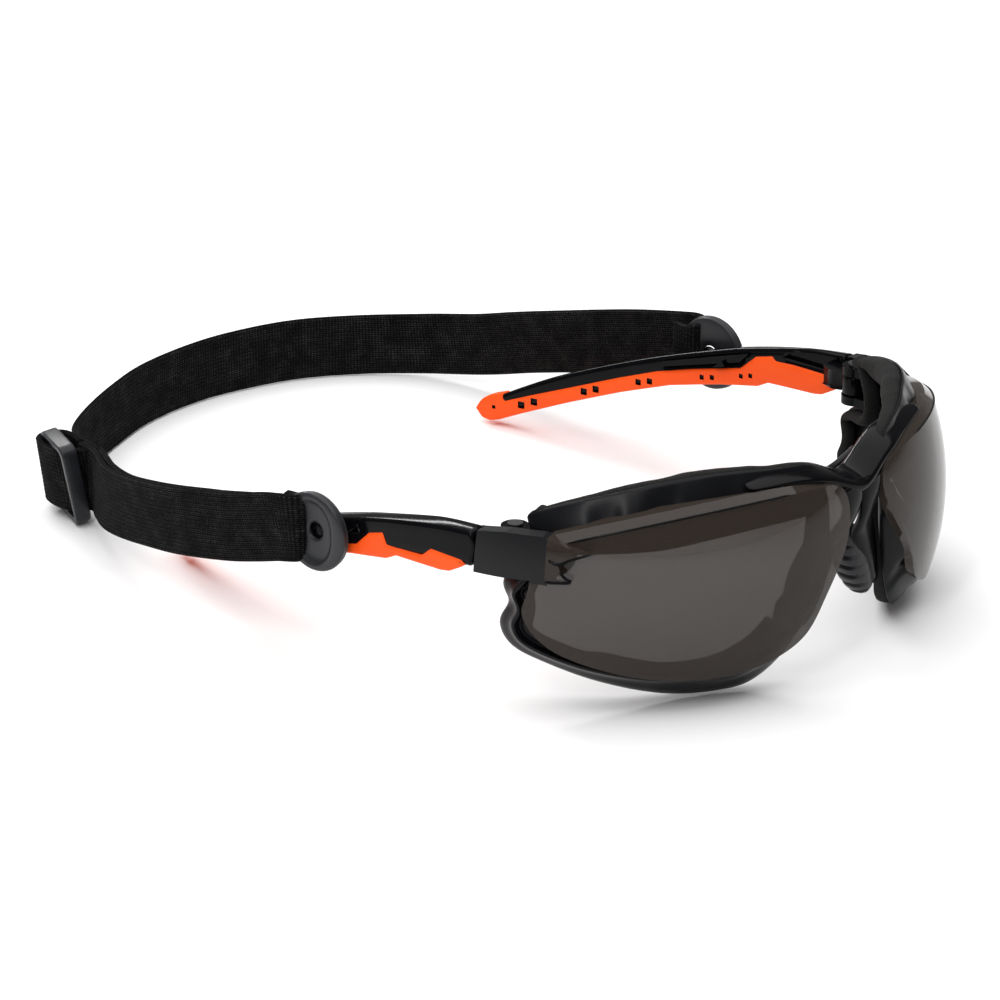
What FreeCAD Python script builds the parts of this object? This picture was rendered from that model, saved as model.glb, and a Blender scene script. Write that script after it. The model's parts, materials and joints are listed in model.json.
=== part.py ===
import FreeCAD, Part
import math
import os

# Wraparound safety glasses with a foam-backed gasket and an elastic head strap, resting folded out on a table.
# Millimetres. The glasses face -Y, +Z is up and z = 0 is the table. +X is the wearer's left.
# Shapes are built from the front of the face (y = 0) and shifted by ROW_SHIFT when they are written, so the
# row's origin is the bottom centre of the whole object.

V = FreeCAD.Vector
ROW_SHIFT = V(0, -113.6, 0)

# Lens: a spherical shell, centred inboard of the eye
LENS_CENTRE = V(10, 61, 26)
LENS_RADIUS = 58.4
LENS_THICKNESS = 2.2
LENS_AZIMUTH = 36.0          # degrees from straight ahead to the lens's middle
CREASE_NORMAL = V(-0.152, 0.401, 0.903)
CREASE_HEIGHT = -4.7         # the brow crease's plane, from the lens centre along CREASE_NORMAL
LUG_RADIUS = 60.2            # outer surface of the lug that covers the hinge
LUG_INNER_RADIUS = 57.0

# Gasket
GASKET_GAP = 0.5             # lens to gasket flange
FLANGE_THICKNESS = 2.0
WALL_THICKNESS = 2.2
LOBE_INNER_RADIUS, LOBE_OUTER_RADIUS = 51.8, 54.8
NOSE_ARM_RADIUS = 1.2
FOAM_INSET = 0.6
FOAM_WIDTH = 5.5

# Hinge: a vertical pin behind each lug
PIN_X, PIN_Y = 61.5, 52.0
PIN_RADIUS = 0.9
PIN_CLEARANCE = 0.05
KNUCKLE_RADIUS = 3.1
HINGE_LOW, HINGE_HIGH = 30.9, 40.1
KNUCKLE_LOW, KNUCKLE_HIGH = 33.2, 37.8
KNUCKLE_GAP = 0.25
FOLD_CLEARANCE_RADIUS = 6.5

# Temple arms
SEAM_Y = 57.1
TEMPLE_END_Y = 161.0
TEMPLE_INNER_X = 65.0
TEMPLE_DROP_IN = 11.0        # how far the tip curves in towards the head
TEMPLE_FRONT_THICKNESS = 4.6
TEMPLE_TIP_THICKNESS = 3.4
GRIP_PROUD = 0.3

# Strap hardware
DISC_Y, DISC_Z = 101.0, 28.2
DISC_INNER_X = 69.8
DISC_THICKNESS = 2.6
DISC_RADIUS = 9.25
STUD_RADIUS = 1.25
STUD_CLEARANCE = 0.05
STUD_HEAD_RADIUS, STUD_HEAD_THICKNESS = 1.9, 0.6
STUD_HEAD_ROOM = 0.2         # clearance round the head, in its pocket in the arm's inner face
SLOT_NEAR, SLOT_FAR = 2.7, 4.7   # strap slot in the disc, behind its centre
SLOT_HEIGHT = 14.0           # the webbing is bunched a little to pass through it
WEB_WIDTH = 16.0
WEB_THICKNESS = 1.4
LOOP_END = 9.5               # the folded webbing ends this far behind the disc centre

# Outlines, on the wearer's left. The lens outline lies in the plane that touches the lens at its middle:
# across (towards the temple) and up.
LENS_EDGE = [
    (-36.5, 27.0), (-48.6, 19.0), (-45.6, 9.8), (-41.0, 3.4), (-33.6, -5.6), (-28.0, -13.6), (-21.2, -17.0),
    (-11.0, -19.1), (1.0, -19.4), (15.0, -18.2), (29.6, -15.8), (41.8, -11.4), (47.6, -3.0), (45.6, 2.0),
    (44.6, 10.0), (41.5, 22.0),
]
# The brow ledge's section round the crease axis: radius and height from the lens centre
LEDGE_SECTION = [(58.2, -4.7), (56.9, -2.4), (53.2, -0.7), (52.5, -2.5), (55.6, -4.0), (56.0, -5.6)]
# The lug's side view: azimuth from straight ahead (degrees) and height
LUG_EDGE = [
    (85.8, 39.8), (79.0, 40.9), (70.5, 41.3), (66.0, 39.8), (59.8, 38.6), (66.8, 35.7), (66.2, 34.2), (64.0, 32.2),
    (70.0, 31.7), (78.0, 31.1), (85.8, 30.7),
]
# Gasket, station by station: front azimuth and height, back azimuth and height, flange width
GASKET_STATIONS = [
    (3.0, 41.4, 3.0, 46.0, 1.8), (17.0, 42.6, 17.0, 49.6, 1.8), (32.0, 42.0, 32.0, 50.2, 1.8),
    (48.0, 40.0, 48.0, 50.0, 1.8), (60.0, 37.4, 61.0, 48.8, 2.2), (65.6, 34.3, 66.6, 42.0, 3.0),
    (67.0, 30.4, 67.8, 33.0, 4.0), (79.5, 25.2, 79.0, 25.2, 5.0), (77.5, 17.5, 76.8, 15.8, 4.2),
    (68.0, 13.6, 68.0, 8.8, 4.0), (56.0, 11.3, 56.0, 4.0, 4.4), (43.0, 9.8, 43.0, 1.2, 5.0),
    (30.0, 9.9, 30.0, 0.5, 6.0), (19.0, 12.0, 19.0, 1.8, 7.0), (11.0, 18.0, 9.5, 8.6, 7.6),
    (4.6, 26.5, 3.6, 21.0, 7.0), (0.8, 35.2, 0.8, 34.0, 5.0),
]
# The seal's lobe above the hinge: azimuth and height
LOBE_EDGE = [(58.0, 42.6), (58.0, 47.9), (66.0, 47.2), (72.0, 45.9), (78.5, 42.3), (76.5, 41.4), (66.0, 41.2)]
VENT_AZIMUTHS = (24.0, 38.0, 52.0)

# Temple side view: distance back and height
TEMPLE_TOP = [
    (57.1, 40.4), (72.0, 38.3), (87.0, 35.0), (108.0, 28.8), (122.0, 23.7), (139.0, 16.6), (153.0, 9.4), (159.6, 5.4),
]
TEMPLE_BOTTOM = [
    (160.4, 2.6), (157.0, 0.5), (149.5, 3.8), (135.6, 9.9), (121.7, 15.4), (107.7, 20.4), (93.5, 24.0), (78.5, 27.5),
    (76.4, 29.5), (61.0, 30.9), (57.1, 31.0),
]
GRIP_TOP = [
    (59.6, 33.4), (72.2, 33.9), (77.3, 33.8), (78.2, 34.8), (83.0, 33.5), (87.6, 29.7), (100.7, 26.4), (111.3, 23.4),
    (121.8, 19.5), (135.6, 14.0), (145.9, 9.9), (154.8, 6.6), (156.4, 8.9), (160.9, 6.0),
]
GRIP_SLOT_PAIRS = [(86.9, 84.3), (98.2, 95.3), (116.2, 113.0), (131.4, 128.1), (148.7, 145.2)]
GRIP_SLOT_SIZE, GRIP_SLOT_DEPTH = 1.4, 1.2
TEMPLE_WINDOW = [(87.8, 31.0), (92.4, 31.0), (93.0, 29.5), (90.0, 29.9)]
TEMPLE_RECESS = [(94.0, 30.8), (109.0, 26.6), (109.0, 25.6), (103.0, 26.8), (95.0, 29.4)]
FRONT_RECESS = [(74.4, 35.0), (72.3, 36.9), (59.0, 39.3), (59.0, 35.4)]

# Bridge sections from the middle out: half span, then front-low, front-high, rear-high, rear-low as (y, z)
BRIDGE_SECTIONS = [
    (0.0, (6.3, 40.4), (6.4, 44.4), (13.3, 45.2), (12.6, 41.8)),
    (7.0, (7.8, 44.0), (7.6, 46.4), (13.8, 47.6), (13.2, 44.8)),
    (13.5, (9.6, 47.5), (9.3, 49.7), (14.3, 50.3), (14.0, 47.8)),
]

# Webbing centre line from the left disc round the back to the right disc, as (x, y, z)
STRAP_LEFT_END = [(73.3, 111.8, 27.6), (73.5, 118.0, 26.2), (73.7, 125.0, 24.5)]
STRAP_LEFT_RUN = [
    (73.7, 126.0, 24.2), (73.9, 138.0, 21.3), (73.9, 150.0, 18.2), (73.8, 163.0, 14.8), (73.0, 176.0, 11.2),
    (69.0, 191.5, 8.7), (59.0, 205.0, 8.0),
]
STRAP_BACK = [
    (59.0, 205.0), (45.0, 215.5), (29.0, 221.5), (14.0, 223.6), (-1.0, 222.8), (-15.0, 218.8), (-28.0, 214.0),
    (-39.5, 208.8),
]
STRAP_RIGHT_RUN = [
    (-39.5, 208.8, 8.0), (-45.6, 205.4, 8.6), (-49.6, 201.0, 10.0), (-52.5, 194.7, 11.0), (-57.7, 184.8, 12.4),
    (-62.1, 175.3, 13.4), (-66.7, 162.5, 15.6), (-71.0, 149.4, 18.3), (-73.2, 137.0, 21.0), (-73.7, 126.0, 23.2),
]
STRAP_RIGHT_END = [(-73.7, 125.0, 23.4), (-73.6, 118.0, 25.2), (-73.3, 111.8, 27.2)]
RETURN_LAYER = [(-59.3, 181.4, 12.8)] + STRAP_RIGHT_RUN[5:]
STRAP_TAIL = [(-57.2, 200.4, 9.6), (-60.6, 196.4, 10.0), (-61.4, 191.8, 10.7), (-59.9, 187.6, 11.5)]
BUCKLE_AT = V(-52.5, 194.7, 11.0)
BUCKLE_ALONG = V(0.4136, 0.8957, -0.1489)   # the webbing's line through the buckle, towards the back
BUCKLE_LENGTH, BUCKLE_HEIGHT, BUCKLE_DEPTH = 14.0, 20.0, 5.0


def write(name, shape):
    moved = shape.copy()
    moved.translate(ROW_SHIFT)
    moved.exportStep("parts/" + name + ".step")


def both_sides(name, left_shape):
    """Writes the wearer's left shape and its mirror image on the right."""
    write("left_" + name, left_shape)
    write("right_" + name, left_shape.mirror(V(0, 0, 0), V(1, 0, 0)))


def polar(azimuth, radius, height):
    """A point round the lens's vertical axis, azimuth in degrees from straight ahead."""
    a = math.radians(azimuth)
    return V(LENS_CENTRE.x + radius * math.sin(a), LENS_CENTRE.y - radius * math.cos(a), height)


def level_radius(radius, height):
    """Radius of the sphere of this radius where it is cut at a height."""
    return math.sqrt(radius ** 2 - (height - LENS_CENTRE.z) ** 2)


def polygon_wire(points):
    return Part.makePolygon(points + points[:1])


def extruded(points, direction):
    return Part.Face(polygon_wire(points)).extrude(direction)


def box(low, high):
    return Part.makeBox(high[0] - low[0], high[1] - low[1], high[2] - low[2], V(*low))


def side_plate(profile, low_x, high_x):
    """A plate seen from the side: profile is (y, z) points, extruded along X."""
    return extruded([V(low_x, y, z) for y, z in profile], V(high_x - low_x, 0, 0))


def curve_through(points, closed):
    """A spline through the points with evenly spaced parameters, so that neighbouring curves match."""
    spans = len(points) if closed else len(points) - 1
    curve = Part.BSplineCurve()
    curve.interpolate(Points=points, PeriodicFlag=closed, Parameters=[float(i) for i in range(spans + 1)])
    return curve.toShape()


def sewn_solid(faces):
    shell = Part.makeShell(faces)
    shell.sewShape()
    solid = Part.makeSolid(shell)
    if solid.Volume < 0:
        solid.reverse()
    return solid


def ruled(first, second):
    """The face of straight lines between two edges that run the same way."""
    return Part.makeRuledSurface(first, second, 1)


def ring(loops):
    """A closed ring whose section's corners run along the loops in turn."""
    edges = [curve_through(loop, True) for loop in loops]
    return sewn_solid([ruled(a, b) for a, b in zip(edges, edges[1:] + edges[:1])])


def bar(rails):
    """An open bar whose section's corners run along the rails in turn, capped at both ends."""
    edges = [curve_through(rail, False) for rail in rails]
    sides = [ruled(a, b) for a, b in zip(edges, edges[1:] + edges[:1])]
    caps = [Part.Face(polygon_wire([rail[end] for rail in rails])) for end in (0, -1)]
    return sewn_solid(sides + caps)


def webbing(centre_line, layer_offset=0.0):
    """A strip of webbing on edge. layer_offset moves it sideways, to the left of its direction."""
    points = [V(*p) for p in centre_line]
    rails = [[], [], [], []]
    for i, point in enumerate(points):
        heading = points[min(i + 1, len(points) - 1)] - points[max(i - 1, 0)]
        left = V(-heading.y, heading.x, 0).normalize()
        near = left * (layer_offset - WEB_THICKNESS / 2)
        far = left * (layer_offset + WEB_THICKNESS / 2)
        up = V(0, 0, WEB_WIDTH / 2)
        for rail, offset in zip(rails, (near - up, near + up, far + up, far - up)):
            rail.append(point + offset)
    return bar(rails)


def lens():
    sphere = Part.makeSphere(LENS_RADIUS, LENS_CENTRE)
    shell = sphere.cut(Part.makeSphere(LENS_RADIUS - LENS_THICKNESS, LENS_CENTRE))
    a = math.radians(LENS_AZIMUTH)
    ahead = V(math.sin(a), -math.cos(a), 0)
    across = V(math.cos(a), math.sin(a), 0)
    touch = LENS_CENTRE + ahead * LENS_RADIUS
    edge = [touch + across * u + V(0, 0, v) for u, v in LENS_EDGE]
    low_edge = Part.BSplineCurve()
    low_edge.interpolate(edge)
    edge_wire = Part.Wire([low_edge.toShape(), Part.makeLine(edge[-1], edge[0])])
    # a cone from the lens centre through the edge trims the shell square to its surface
    scaled = edge_wire.copy()
    scaled.scale(1.4, LENS_CENTRE)
    cone = Part.makeLoft([Part.Vertex(LENS_CENTRE), scaled], True, True)
    turn = FreeCAD.Rotation(V(0, 0, 1), CREASE_NORMAL)
    below_crease = Part.makeBox(240, 240, 120, V(-120, -120, -120))
    below_crease.Placement = FreeCAD.Placement(LENS_CENTRE + CREASE_NORMAL * CREASE_HEIGHT, turn)
    body = shell.common(cone).common(below_crease)
    section = polygon_wire([V(r, 0, h) for r, h in LEDGE_SECTION])
    ledge = Part.Face(section).revolve(V(0, 0, 0), V(0, 0, 1), 360)
    ledge.Placement = FreeCAD.Placement(LENS_CENTRE, turn)
    ledge = ledge.common(cone)
    return body.fuse([ledge, curved_plate(LUG_EDGE, LUG_INNER_RADIUS, LUG_RADIUS)]).removeSplitter()


def curved_plate(outline, inner_radius, outer_radius):
    """A plate bent round the lens centre, between two spheres, with an (azimuth, height) outline."""
    outside = [polar(azimuth, outer_radius + 8, z) for azimuth, z in outline]
    inside = [polar(azimuth, inner_radius - 8, z) for azimuth, z in outline]
    wedge = Part.makeLoft([polygon_wire(inside), polygon_wire(outside)], False, True)
    caps = [fan(inside), fan(outside)]
    prism = sewn_solid(wedge.Faces + [face for cap in caps for face in cap])
    shell = Part.makeSphere(outer_radius, LENS_CENTRE).cut(Part.makeSphere(inner_radius, LENS_CENTRE))
    return shell.common(prism)


def fan(points):
    """Triangles that close a nearly flat outline, from its middle."""
    middle = V(0, 0, 0)
    for point in points:
        middle += point
    middle = middle * (1.0 / len(points))
    return [Part.Face(polygon_wire([middle, a, b])) for a, b in zip(points, points[1:] + points[:1])]


def frame_radius(azimuth):
    """Radius of the gasket frame's back edge; the seal gets shallower towards the temple."""
    return 47.4 + 4.6 * max(0.0, (azimuth - 30.0) / 50.0) ** 2


def face_radius(azimuth):
    return frame_radius(azimuth) - 4.4 + 1.4 * max(0.0, (azimuth - 30.0) / 50.0) ** 2


def inset(stations, distances, radius):
    """Moves an (azimuth, height) outline inwards by a distance in mm, measured on the developed surface."""
    flat = [(math.radians(azimuth) * radius, z) for azimuth, z in stations]
    moved = []
    for i, (across, z) in enumerate(flat):
        before, after = flat[i - 1], flat[(i + 1) % len(flat)]
        du, dv = after[0] - before[0], after[1] - before[1]
        length = math.hypot(du, dv)
        across += dv / length * distances[i]
        z -= du / length * distances[i]
        moved.append((math.degrees(across / radius), z))
    return moved


def gasket():
    """The seal frame: a flange behind the lens, and a wall back to the foam."""
    front = [(s[0], s[1]) for s in GASKET_STATIONS]
    back = [(s[2], s[3]) for s in GASKET_STATIONS]
    count = len(GASKET_STATIONS)
    front_sphere = LENS_RADIUS - LENS_THICKNESS - GASKET_GAP
    lip = inset(front, [s[4] for s in GASKET_STATIONS], front_sphere)
    corner = inset(front, [min(WALL_THICKNESS, 0.8 * s[4]) for s in GASKET_STATIONS], front_sphere)
    inner = inset(back, [WALL_THICKNESS] * count, 47.0)
    return ring([
        [polar(a, level_radius(front_sphere, z), z) for a, z in front],
        [polar(a, level_radius(front_sphere, z), z) for a, z in lip],
        [polar(a, level_radius(front_sphere, z) - FLANGE_THICKNESS, z) for a, z in lip],
        [polar(a, level_radius(front_sphere, z) - FLANGE_THICKNESS, z) for a, z in corner],
        [polar(a, frame_radius(a), z) for a, z in inner],
        [polar(a, frame_radius(a), z) for a, z in back],
    ])


def vented(frame):
    """Cuts the vent slots through the top wall of the seal frame."""
    for azimuth in VENT_AZIMUTHS:
        slot = Part.makeBox(8, 3.2, 14, V(-4, -1.6, -7))
        slot.Placement = FreeCAD.Placement(polar(azimuth, 52.0, 47.0), FreeCAD.Rotation(V(0, 0, 1), azimuth))
        frame = frame.cut(slot)
    return frame


def seal_lobe():
    """The seal frame's upper corner, which reaches back over the hinge."""
    return curved_plate(LOBE_EDGE, LOBE_INNER_RADIUS, LOBE_OUTER_RADIUS)


def foam():
    count = len(GASKET_STATIONS)
    back = [(s[2], s[3]) for s in GASKET_STATIONS]
    outer = inset(back, [FOAM_INSET] * count, 47.0)
    inner = inset(back, [FOAM_INSET + FOAM_WIDTH] * count, 47.0)
    return ring([
        [polar(a, frame_radius(a), z) for a, z in outer],
        [polar(a, frame_radius(a), z) for a, z in inner],
        [polar(a, face_radius(a), z) for a, z in inner],
        [polar(a, face_radius(a), z) for a, z in outer],
    ])


def gasket_bridge():
    """The soft strip behind the bridge that joins the two seal frames."""
    upper = [(9.9, 45.6), (5.0, 44.2), (-5.0, 44.2), (-9.9, 45.6)]
    lower = [(-9.9, 41.2), (-5.0, 39.8), (5.0, 39.8), (9.9, 41.2)]
    return extruded([V(x, 13.9, z) for x, z in upper + lower], V(0, 2.4, 0))


def bridge():
    sections = [(-x, *corners) for x, *corners in reversed(BRIDGE_SECTIONS[1:])] + BRIDGE_SECTIONS
    rails = [[V(x, *corners[k]) for x, *corners in sections] for k in range(4)]
    return bar(rails)


def nose_arm():
    """A thin arm that comes down from the bridge to the nose pad."""
    path = [V(1.6, 9.4, 43.0), V(2.4, 9.6, 36.0), V(5.2, 10.6, 29.0), V(9.6, 12.4, 20.5)]
    curve = Part.BSplineCurve()
    curve.interpolate(path)
    profile = Part.Wire(Part.makeCircle(NOSE_ARM_RADIUS, path[0], path[1] - path[0]))
    return Part.Wire(curve.toShape()).makePipeShell([profile], True, True)


def nose_pad():
    """An oval pad on the left arm, flat against the side of the nose."""
    pad = Part.makeSphere(1.0)
    stretch = FreeCAD.Matrix()
    stretch.scale(2.0, 4.6, 9.2)
    pad = pad.transformGeometry(stretch)
    pad.Placement = FreeCAD.Placement(V(9.2, 12.0, 20.0), FreeCAD.Rotation(-28, -26, 0))
    return pad


def endpiece():
    """Black hinge hardware behind the lug: a plate along the lens and two knuckles for the pin."""
    shell = Part.makeSphere(LUG_INNER_RADIUS - 0.05, LENS_CENTRE).cut(Part.makeSphere(52.0, LENS_CENTRE))
    plan = [(62.5, 39.6), (68.0, 39.6), (68.0, 48.5), (57.5, 48.5)]
    plate = shell.common(extruded([V(x, y, HINGE_LOW) for x, y in plan], V(0, 0, HINGE_HIGH - HINGE_LOW)))
    knuckle = Part.makeCylinder(KNUCKLE_RADIUS, HINGE_HIGH - HINGE_LOW, V(PIN_X, PIN_Y, HINGE_LOW))
    low, high = (PIN_X - 2.6, 46.4, HINGE_LOW), (PIN_X + 2.6, PIN_Y, HINGE_HIGH)
    block = plate.fuse([knuckle, box(low, high)])
    gap_low, gap_high = KNUCKLE_LOW - KNUCKLE_GAP, KNUCKLE_HIGH + KNUCKLE_GAP
    gap = Part.makeCylinder(FOLD_CLEARANCE_RADIUS, gap_high - gap_low, V(PIN_X, PIN_Y, gap_low))
    hole = Part.makeCylinder(PIN_RADIUS, 20, V(PIN_X, PIN_Y, HINGE_LOW - 5))
    return block.cut(gap).cut(hole)


def hinge_pin():
    shaft = Part.makeCylinder(PIN_RADIUS, HINGE_HIGH - HINGE_LOW + 0.3, V(PIN_X, PIN_Y, HINGE_LOW - 0.15))
    head = Part.makeCylinder(1.7, 0.6, V(PIN_X, PIN_Y, HINGE_HIGH))
    return shaft.fuse(head)


def temple_inner_x(y):
    along = max(0.0, (y - 60.0) / 100.0)
    return TEMPLE_INNER_X - TEMPLE_DROP_IN * along ** 2.2


def temple_outer_x(y):
    along = (y - SEAM_Y) / (TEMPLE_END_Y - SEAM_Y)
    thickness = TEMPLE_FRONT_THICKNESS + (TEMPLE_TIP_THICKNESS - TEMPLE_FRONT_THICKNESS) * along
    return temple_inner_x(y) + thickness


def temple_band(proud):
    """The arm's plan shape as a tall band, curving in to the tip."""
    stations = [SEAM_Y, 72.0, 87.0, 102.0, 117.0, 132.0, 147.0, TEMPLE_END_Y + proud]
    inner = Part.BSplineCurve()
    inner.interpolate([V(temple_inner_x(y) - proud, y, -5) for y in stations])
    outer = Part.BSplineCurve()
    outer.interpolate([V(temple_outer_x(y) + proud, y, -5) for y in stations])
    ends = [Part.makeLine(inner.value(p), outer.value(q)) for p, q in (
        (inner.FirstParameter, outer.FirstParameter), (inner.LastParameter, outer.LastParameter))]
    outline = Part.Wire(Part.__sortEdges__([inner.toShape(), ends[1], outer.toShape(), ends[0]]))
    return Part.Face(outline).extrude(V(0, 0, 60))


def smooth_plate(top, bottom, low_x, high_x):
    """A side plate with a smooth top edge and a cornered bottom edge."""
    upper = Part.BSplineCurve()
    upper.interpolate([V(low_x, y, z) for y, z in top])
    lower = Part.makePolygon([V(low_x, y, z) for y, z in [top[-1]] + bottom + [top[0]]])
    return Part.Face(Part.Wire([upper.toShape()] + lower.Edges)).extrude(V(high_x - low_x, 0, 0))


def grip_profile():
    tip = [(y + 0.6, z - GRIP_PROUD) for y, z in TEMPLE_BOTTOM[:2]]
    return GRIP_TOP + tip + [(y, z - GRIP_PROUD) for y, z in TEMPLE_BOTTOM[2:10]]


def grip_slots():
    """Small square pockets in pairs along the middle of the grip's inner face."""
    slots = []
    half = GRIP_SLOT_SIZE / 2
    for pair in GRIP_SLOT_PAIRS:
        for y in pair:
            z = (height_on(GRIP_TOP, y) + height_on(list(reversed(TEMPLE_BOTTOM)), y)) / 2
            floor_x = temple_inner_x(y) + GRIP_SLOT_DEPTH
            slots.append(box((40, y - half, z - half), (floor_x, y + half, z + half)))
    return slots


def height_on(line, y):
    """Height at y on a line of (y, z) points that runs back along the temple."""
    for (y0, z0), (y1, z1) in zip(line, line[1:]):
        if y0 <= y <= y1:
            return z0 + (z1 - z0) * (y - y0) / (y1 - y0)
    raise ValueError("y is off the line")


def temple_arm():
    whole = temple_band(0.0).common(smooth_plate(TEMPLE_TOP, TEMPLE_BOTTOM, 40, 90))
    arm = whole.cut(side_plate(grip_profile(), 40, 90))
    arm = arm.cut(side_plate(TEMPLE_WINDOW, 40, 90))
    arm = arm.cut(side_plate(TEMPLE_RECESS, 40, temple_inner_x(100.0) + 1.3))
    arm = arm.cut(side_plate(FRONT_RECESS, 40, TEMPLE_INNER_X + 1.5))
    neck = [(60.5, 53.6), (64.2, 53.6), (65.1, 56.0), (65.4, 58.0), (66.0, 62.0), (61.4, 62.0), (60.5, 57.0)]
    neck_solid = extruded([V(x, y, KNUCKLE_LOW) for x, y in neck], V(0, 0, KNUCKLE_HIGH - KNUCKLE_LOW))
    heel = box((61.4, SEAM_Y, HINGE_LOW + 0.4), (66.0, 62.0, HINGE_HIGH - 0.6))
    knuckle = Part.makeCylinder(KNUCKLE_RADIUS - 0.1, KNUCKLE_HIGH - KNUCKLE_LOW, V(PIN_X, PIN_Y, KNUCKLE_LOW))
    arm = arm.fuse([heel, neck_solid, knuckle])
    pin_hole = Part.makeCylinder(PIN_RADIUS + PIN_CLEARANCE, 20, V(PIN_X, PIN_Y, 25))
    stud_hole = Part.makeCylinder(STUD_RADIUS + STUD_CLEARANCE, 40, V(45, DISC_Y, DISC_Z), V(1, 0, 0))
    pocket_radius = STUD_HEAD_RADIUS + STUD_HEAD_ROOM
    pocket_end = temple_inner_x(DISC_Y) + STUD_HEAD_THICKNESS + 2 * STUD_HEAD_ROOM
    stud_pocket = Part.makeCylinder(pocket_radius, pocket_end - 45, V(45, DISC_Y, DISC_Z), V(1, 0, 0))
    return arm.cut(pin_hole).cut(stud_hole).cut(stud_pocket)


def temple_grip():
    grip = temple_band(GRIP_PROUD).common(side_plate(grip_profile(), 40, 90))
    for slot in grip_slots():
        grip = grip.cut(slot)
    room_radius = STUD_HEAD_RADIUS + 2 * STUD_HEAD_ROOM
    stud_room = Part.makeCylinder(room_radius, 40, V(45, DISC_Y, DISC_Z), V(1, 0, 0))
    return grip.cut(stud_room)


def strap_disc():
    """A dished round disc with a slot for the webbing behind its centre and a hole for the stud."""
    axis = V(1, 0, 0)
    disc = Part.makeCylinder(DISC_RADIUS, DISC_THICKNESS, V(DISC_INNER_X, DISC_Y, DISC_Z), axis)
    disc = disc.makeFillet(0.8, [e for e in disc.Edges if abs(e.BoundBox.XLength) < 0.01])
    dish = Part.makeSphere(22.0, V(DISC_INNER_X + DISC_THICKNESS - 1.1 + 22.0, DISC_Y - 1.0, DISC_Z))
    slot_half = SLOT_HEIGHT / 2
    slot = box((60, DISC_Y + SLOT_NEAR, DISC_Z - slot_half), (80, DISC_Y + SLOT_FAR, DISC_Z + slot_half))
    hole = Part.makeCylinder(STUD_RADIUS, 20, V(60, DISC_Y, DISC_Z), axis)
    return disc.cut(dish).cut(slot).cut(hole)


def disc_stud():
    axis = V(1, 0, 0)
    tail = temple_inner_x(DISC_Y) + STUD_HEAD_ROOM
    shank = Part.makeCylinder(STUD_RADIUS, DISC_INNER_X + DISC_THICKNESS - 1.2 - tail, V(tail, DISC_Y, DISC_Z), axis)
    head = Part.makeCylinder(STUD_HEAD_RADIUS, STUD_HEAD_THICKNESS, V(tail, DISC_Y, DISC_Z), axis)
    return shank.fuse(head)


def strap_loop():
    """Webbing folded round the disc's rear bar, through its slot."""
    low, high = DISC_Z - SLOT_HEIGHT / 2 + 0.3, DISC_Z + SLOT_HEIGHT / 2 - 0.3
    inside, outside = DISC_INNER_X - 0.2, DISC_INNER_X + DISC_THICKNESS + 0.2
    near, far = DISC_Y + SLOT_NEAR + 0.2, DISC_Y + LOOP_END
    outer = box((inside - 1.3, near, low), (outside + 1.5, far, high))
    room = box((inside, near + 1.4, low - 1), (outside, DISC_Y + DISC_RADIUS + 0.3, high + 1))
    return outer.cut(room)


def strap_back():
    """The back run of the webbing, standing on its edge on the table."""
    sides = []
    points = [V(x, y, 0) for x, y in STRAP_BACK]
    for offset in (-WEB_THICKNESS / 2, WEB_THICKNESS / 2):
        moved = []
        for i, point in enumerate(points):
            heading = points[min(i + 1, len(points) - 1)] - points[max(i - 1, 0)]
            moved.append(point + V(-heading.y, heading.x, 0).normalize() * offset)
        sides.append(curve_through(moved, False))
    ends = [Part.makeLine(sides[0].Vertexes[k].Point, sides[1].Vertexes[k].Point) for k in (0, -1)]
    outline = Part.Wire(Part.__sortEdges__([sides[0], ends[1], sides[1], ends[0]]))
    return Part.Face(outline).extrude(V(0, 0, WEB_WIDTH))


def strap_buckle():
    """A slide adjuster: two plates with windows, joined above and below the webbing's tunnel."""
    half = WEB_WIDTH / 2 + 0.5
    frame = Part.makeBox(BUCKLE_LENGTH, BUCKLE_DEPTH, BUCKLE_HEIGHT,
                         V(-BUCKLE_LENGTH / 2, -BUCKLE_DEPTH / 2, -BUCKLE_HEIGHT / 2))
    frame = frame.makeFillet(0.9, [e for e in frame.Edges if e.BoundBox.YLength > 1])
    tunnel = Part.makeBox(BUCKLE_LENGTH + 2, BUCKLE_DEPTH - 1.5, 2 * half,
                          V(-BUCKLE_LENGTH / 2 - 1, -BUCKLE_DEPTH / 2 + 0.75, -half))
    frame = frame.cut(tunnel)
    for low_x in (-5.4, 1.2):
        frame = frame.cut(Part.makeBox(4.2, BUCKLE_DEPTH + 2, 2 * half, V(low_x, -BUCKLE_DEPTH / 2 - 1, -half)))
    outward = V(-BUCKLE_ALONG.y, BUCKLE_ALONG.x, 0).normalize()
    frame.Placement = FreeCAD.Placement(BUCKLE_AT, FreeCAD.Rotation(BUCKLE_ALONG, outward, V(0, 0, 1), "XYZ"))
    return frame


def build():
    os.makedirs("parts", exist_ok=True)
    both_sides("lens", lens())
    write("bridge", bridge())
    both_sides("nose_arm", nose_arm())
    both_sides("nose_pad", nose_pad())
    both_sides("gasket_frame", vented(gasket()).fuse(seal_lobe()))
    write("gasket_bridge", gasket_bridge())
    both_sides("gasket_foam", foam())
    both_sides("endpiece", endpiece())
    both_sides("hinge_pin", hinge_pin())
    both_sides("temple_arm", temple_arm())
    both_sides("temple_grip", temple_grip())
    both_sides("strap_disc", strap_disc())
    both_sides("disc_stud", disc_stud())
    both_sides("strap_loop", strap_loop())
    write("left_strap_end", webbing(STRAP_LEFT_END))
    write("right_strap_end", webbing(STRAP_RIGHT_END))
    write("left_strap_run", webbing(STRAP_LEFT_RUN))
    write("strap_back", strap_back())
    write("right_strap_run", webbing(STRAP_RIGHT_RUN))
    write("strap_return_layer", webbing(RETURN_LAYER, WEB_THICKNESS + 0.1))
    write("strap_tail", webbing(STRAP_TAIL))
    write("strap_buckle", strap_buckle())


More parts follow.
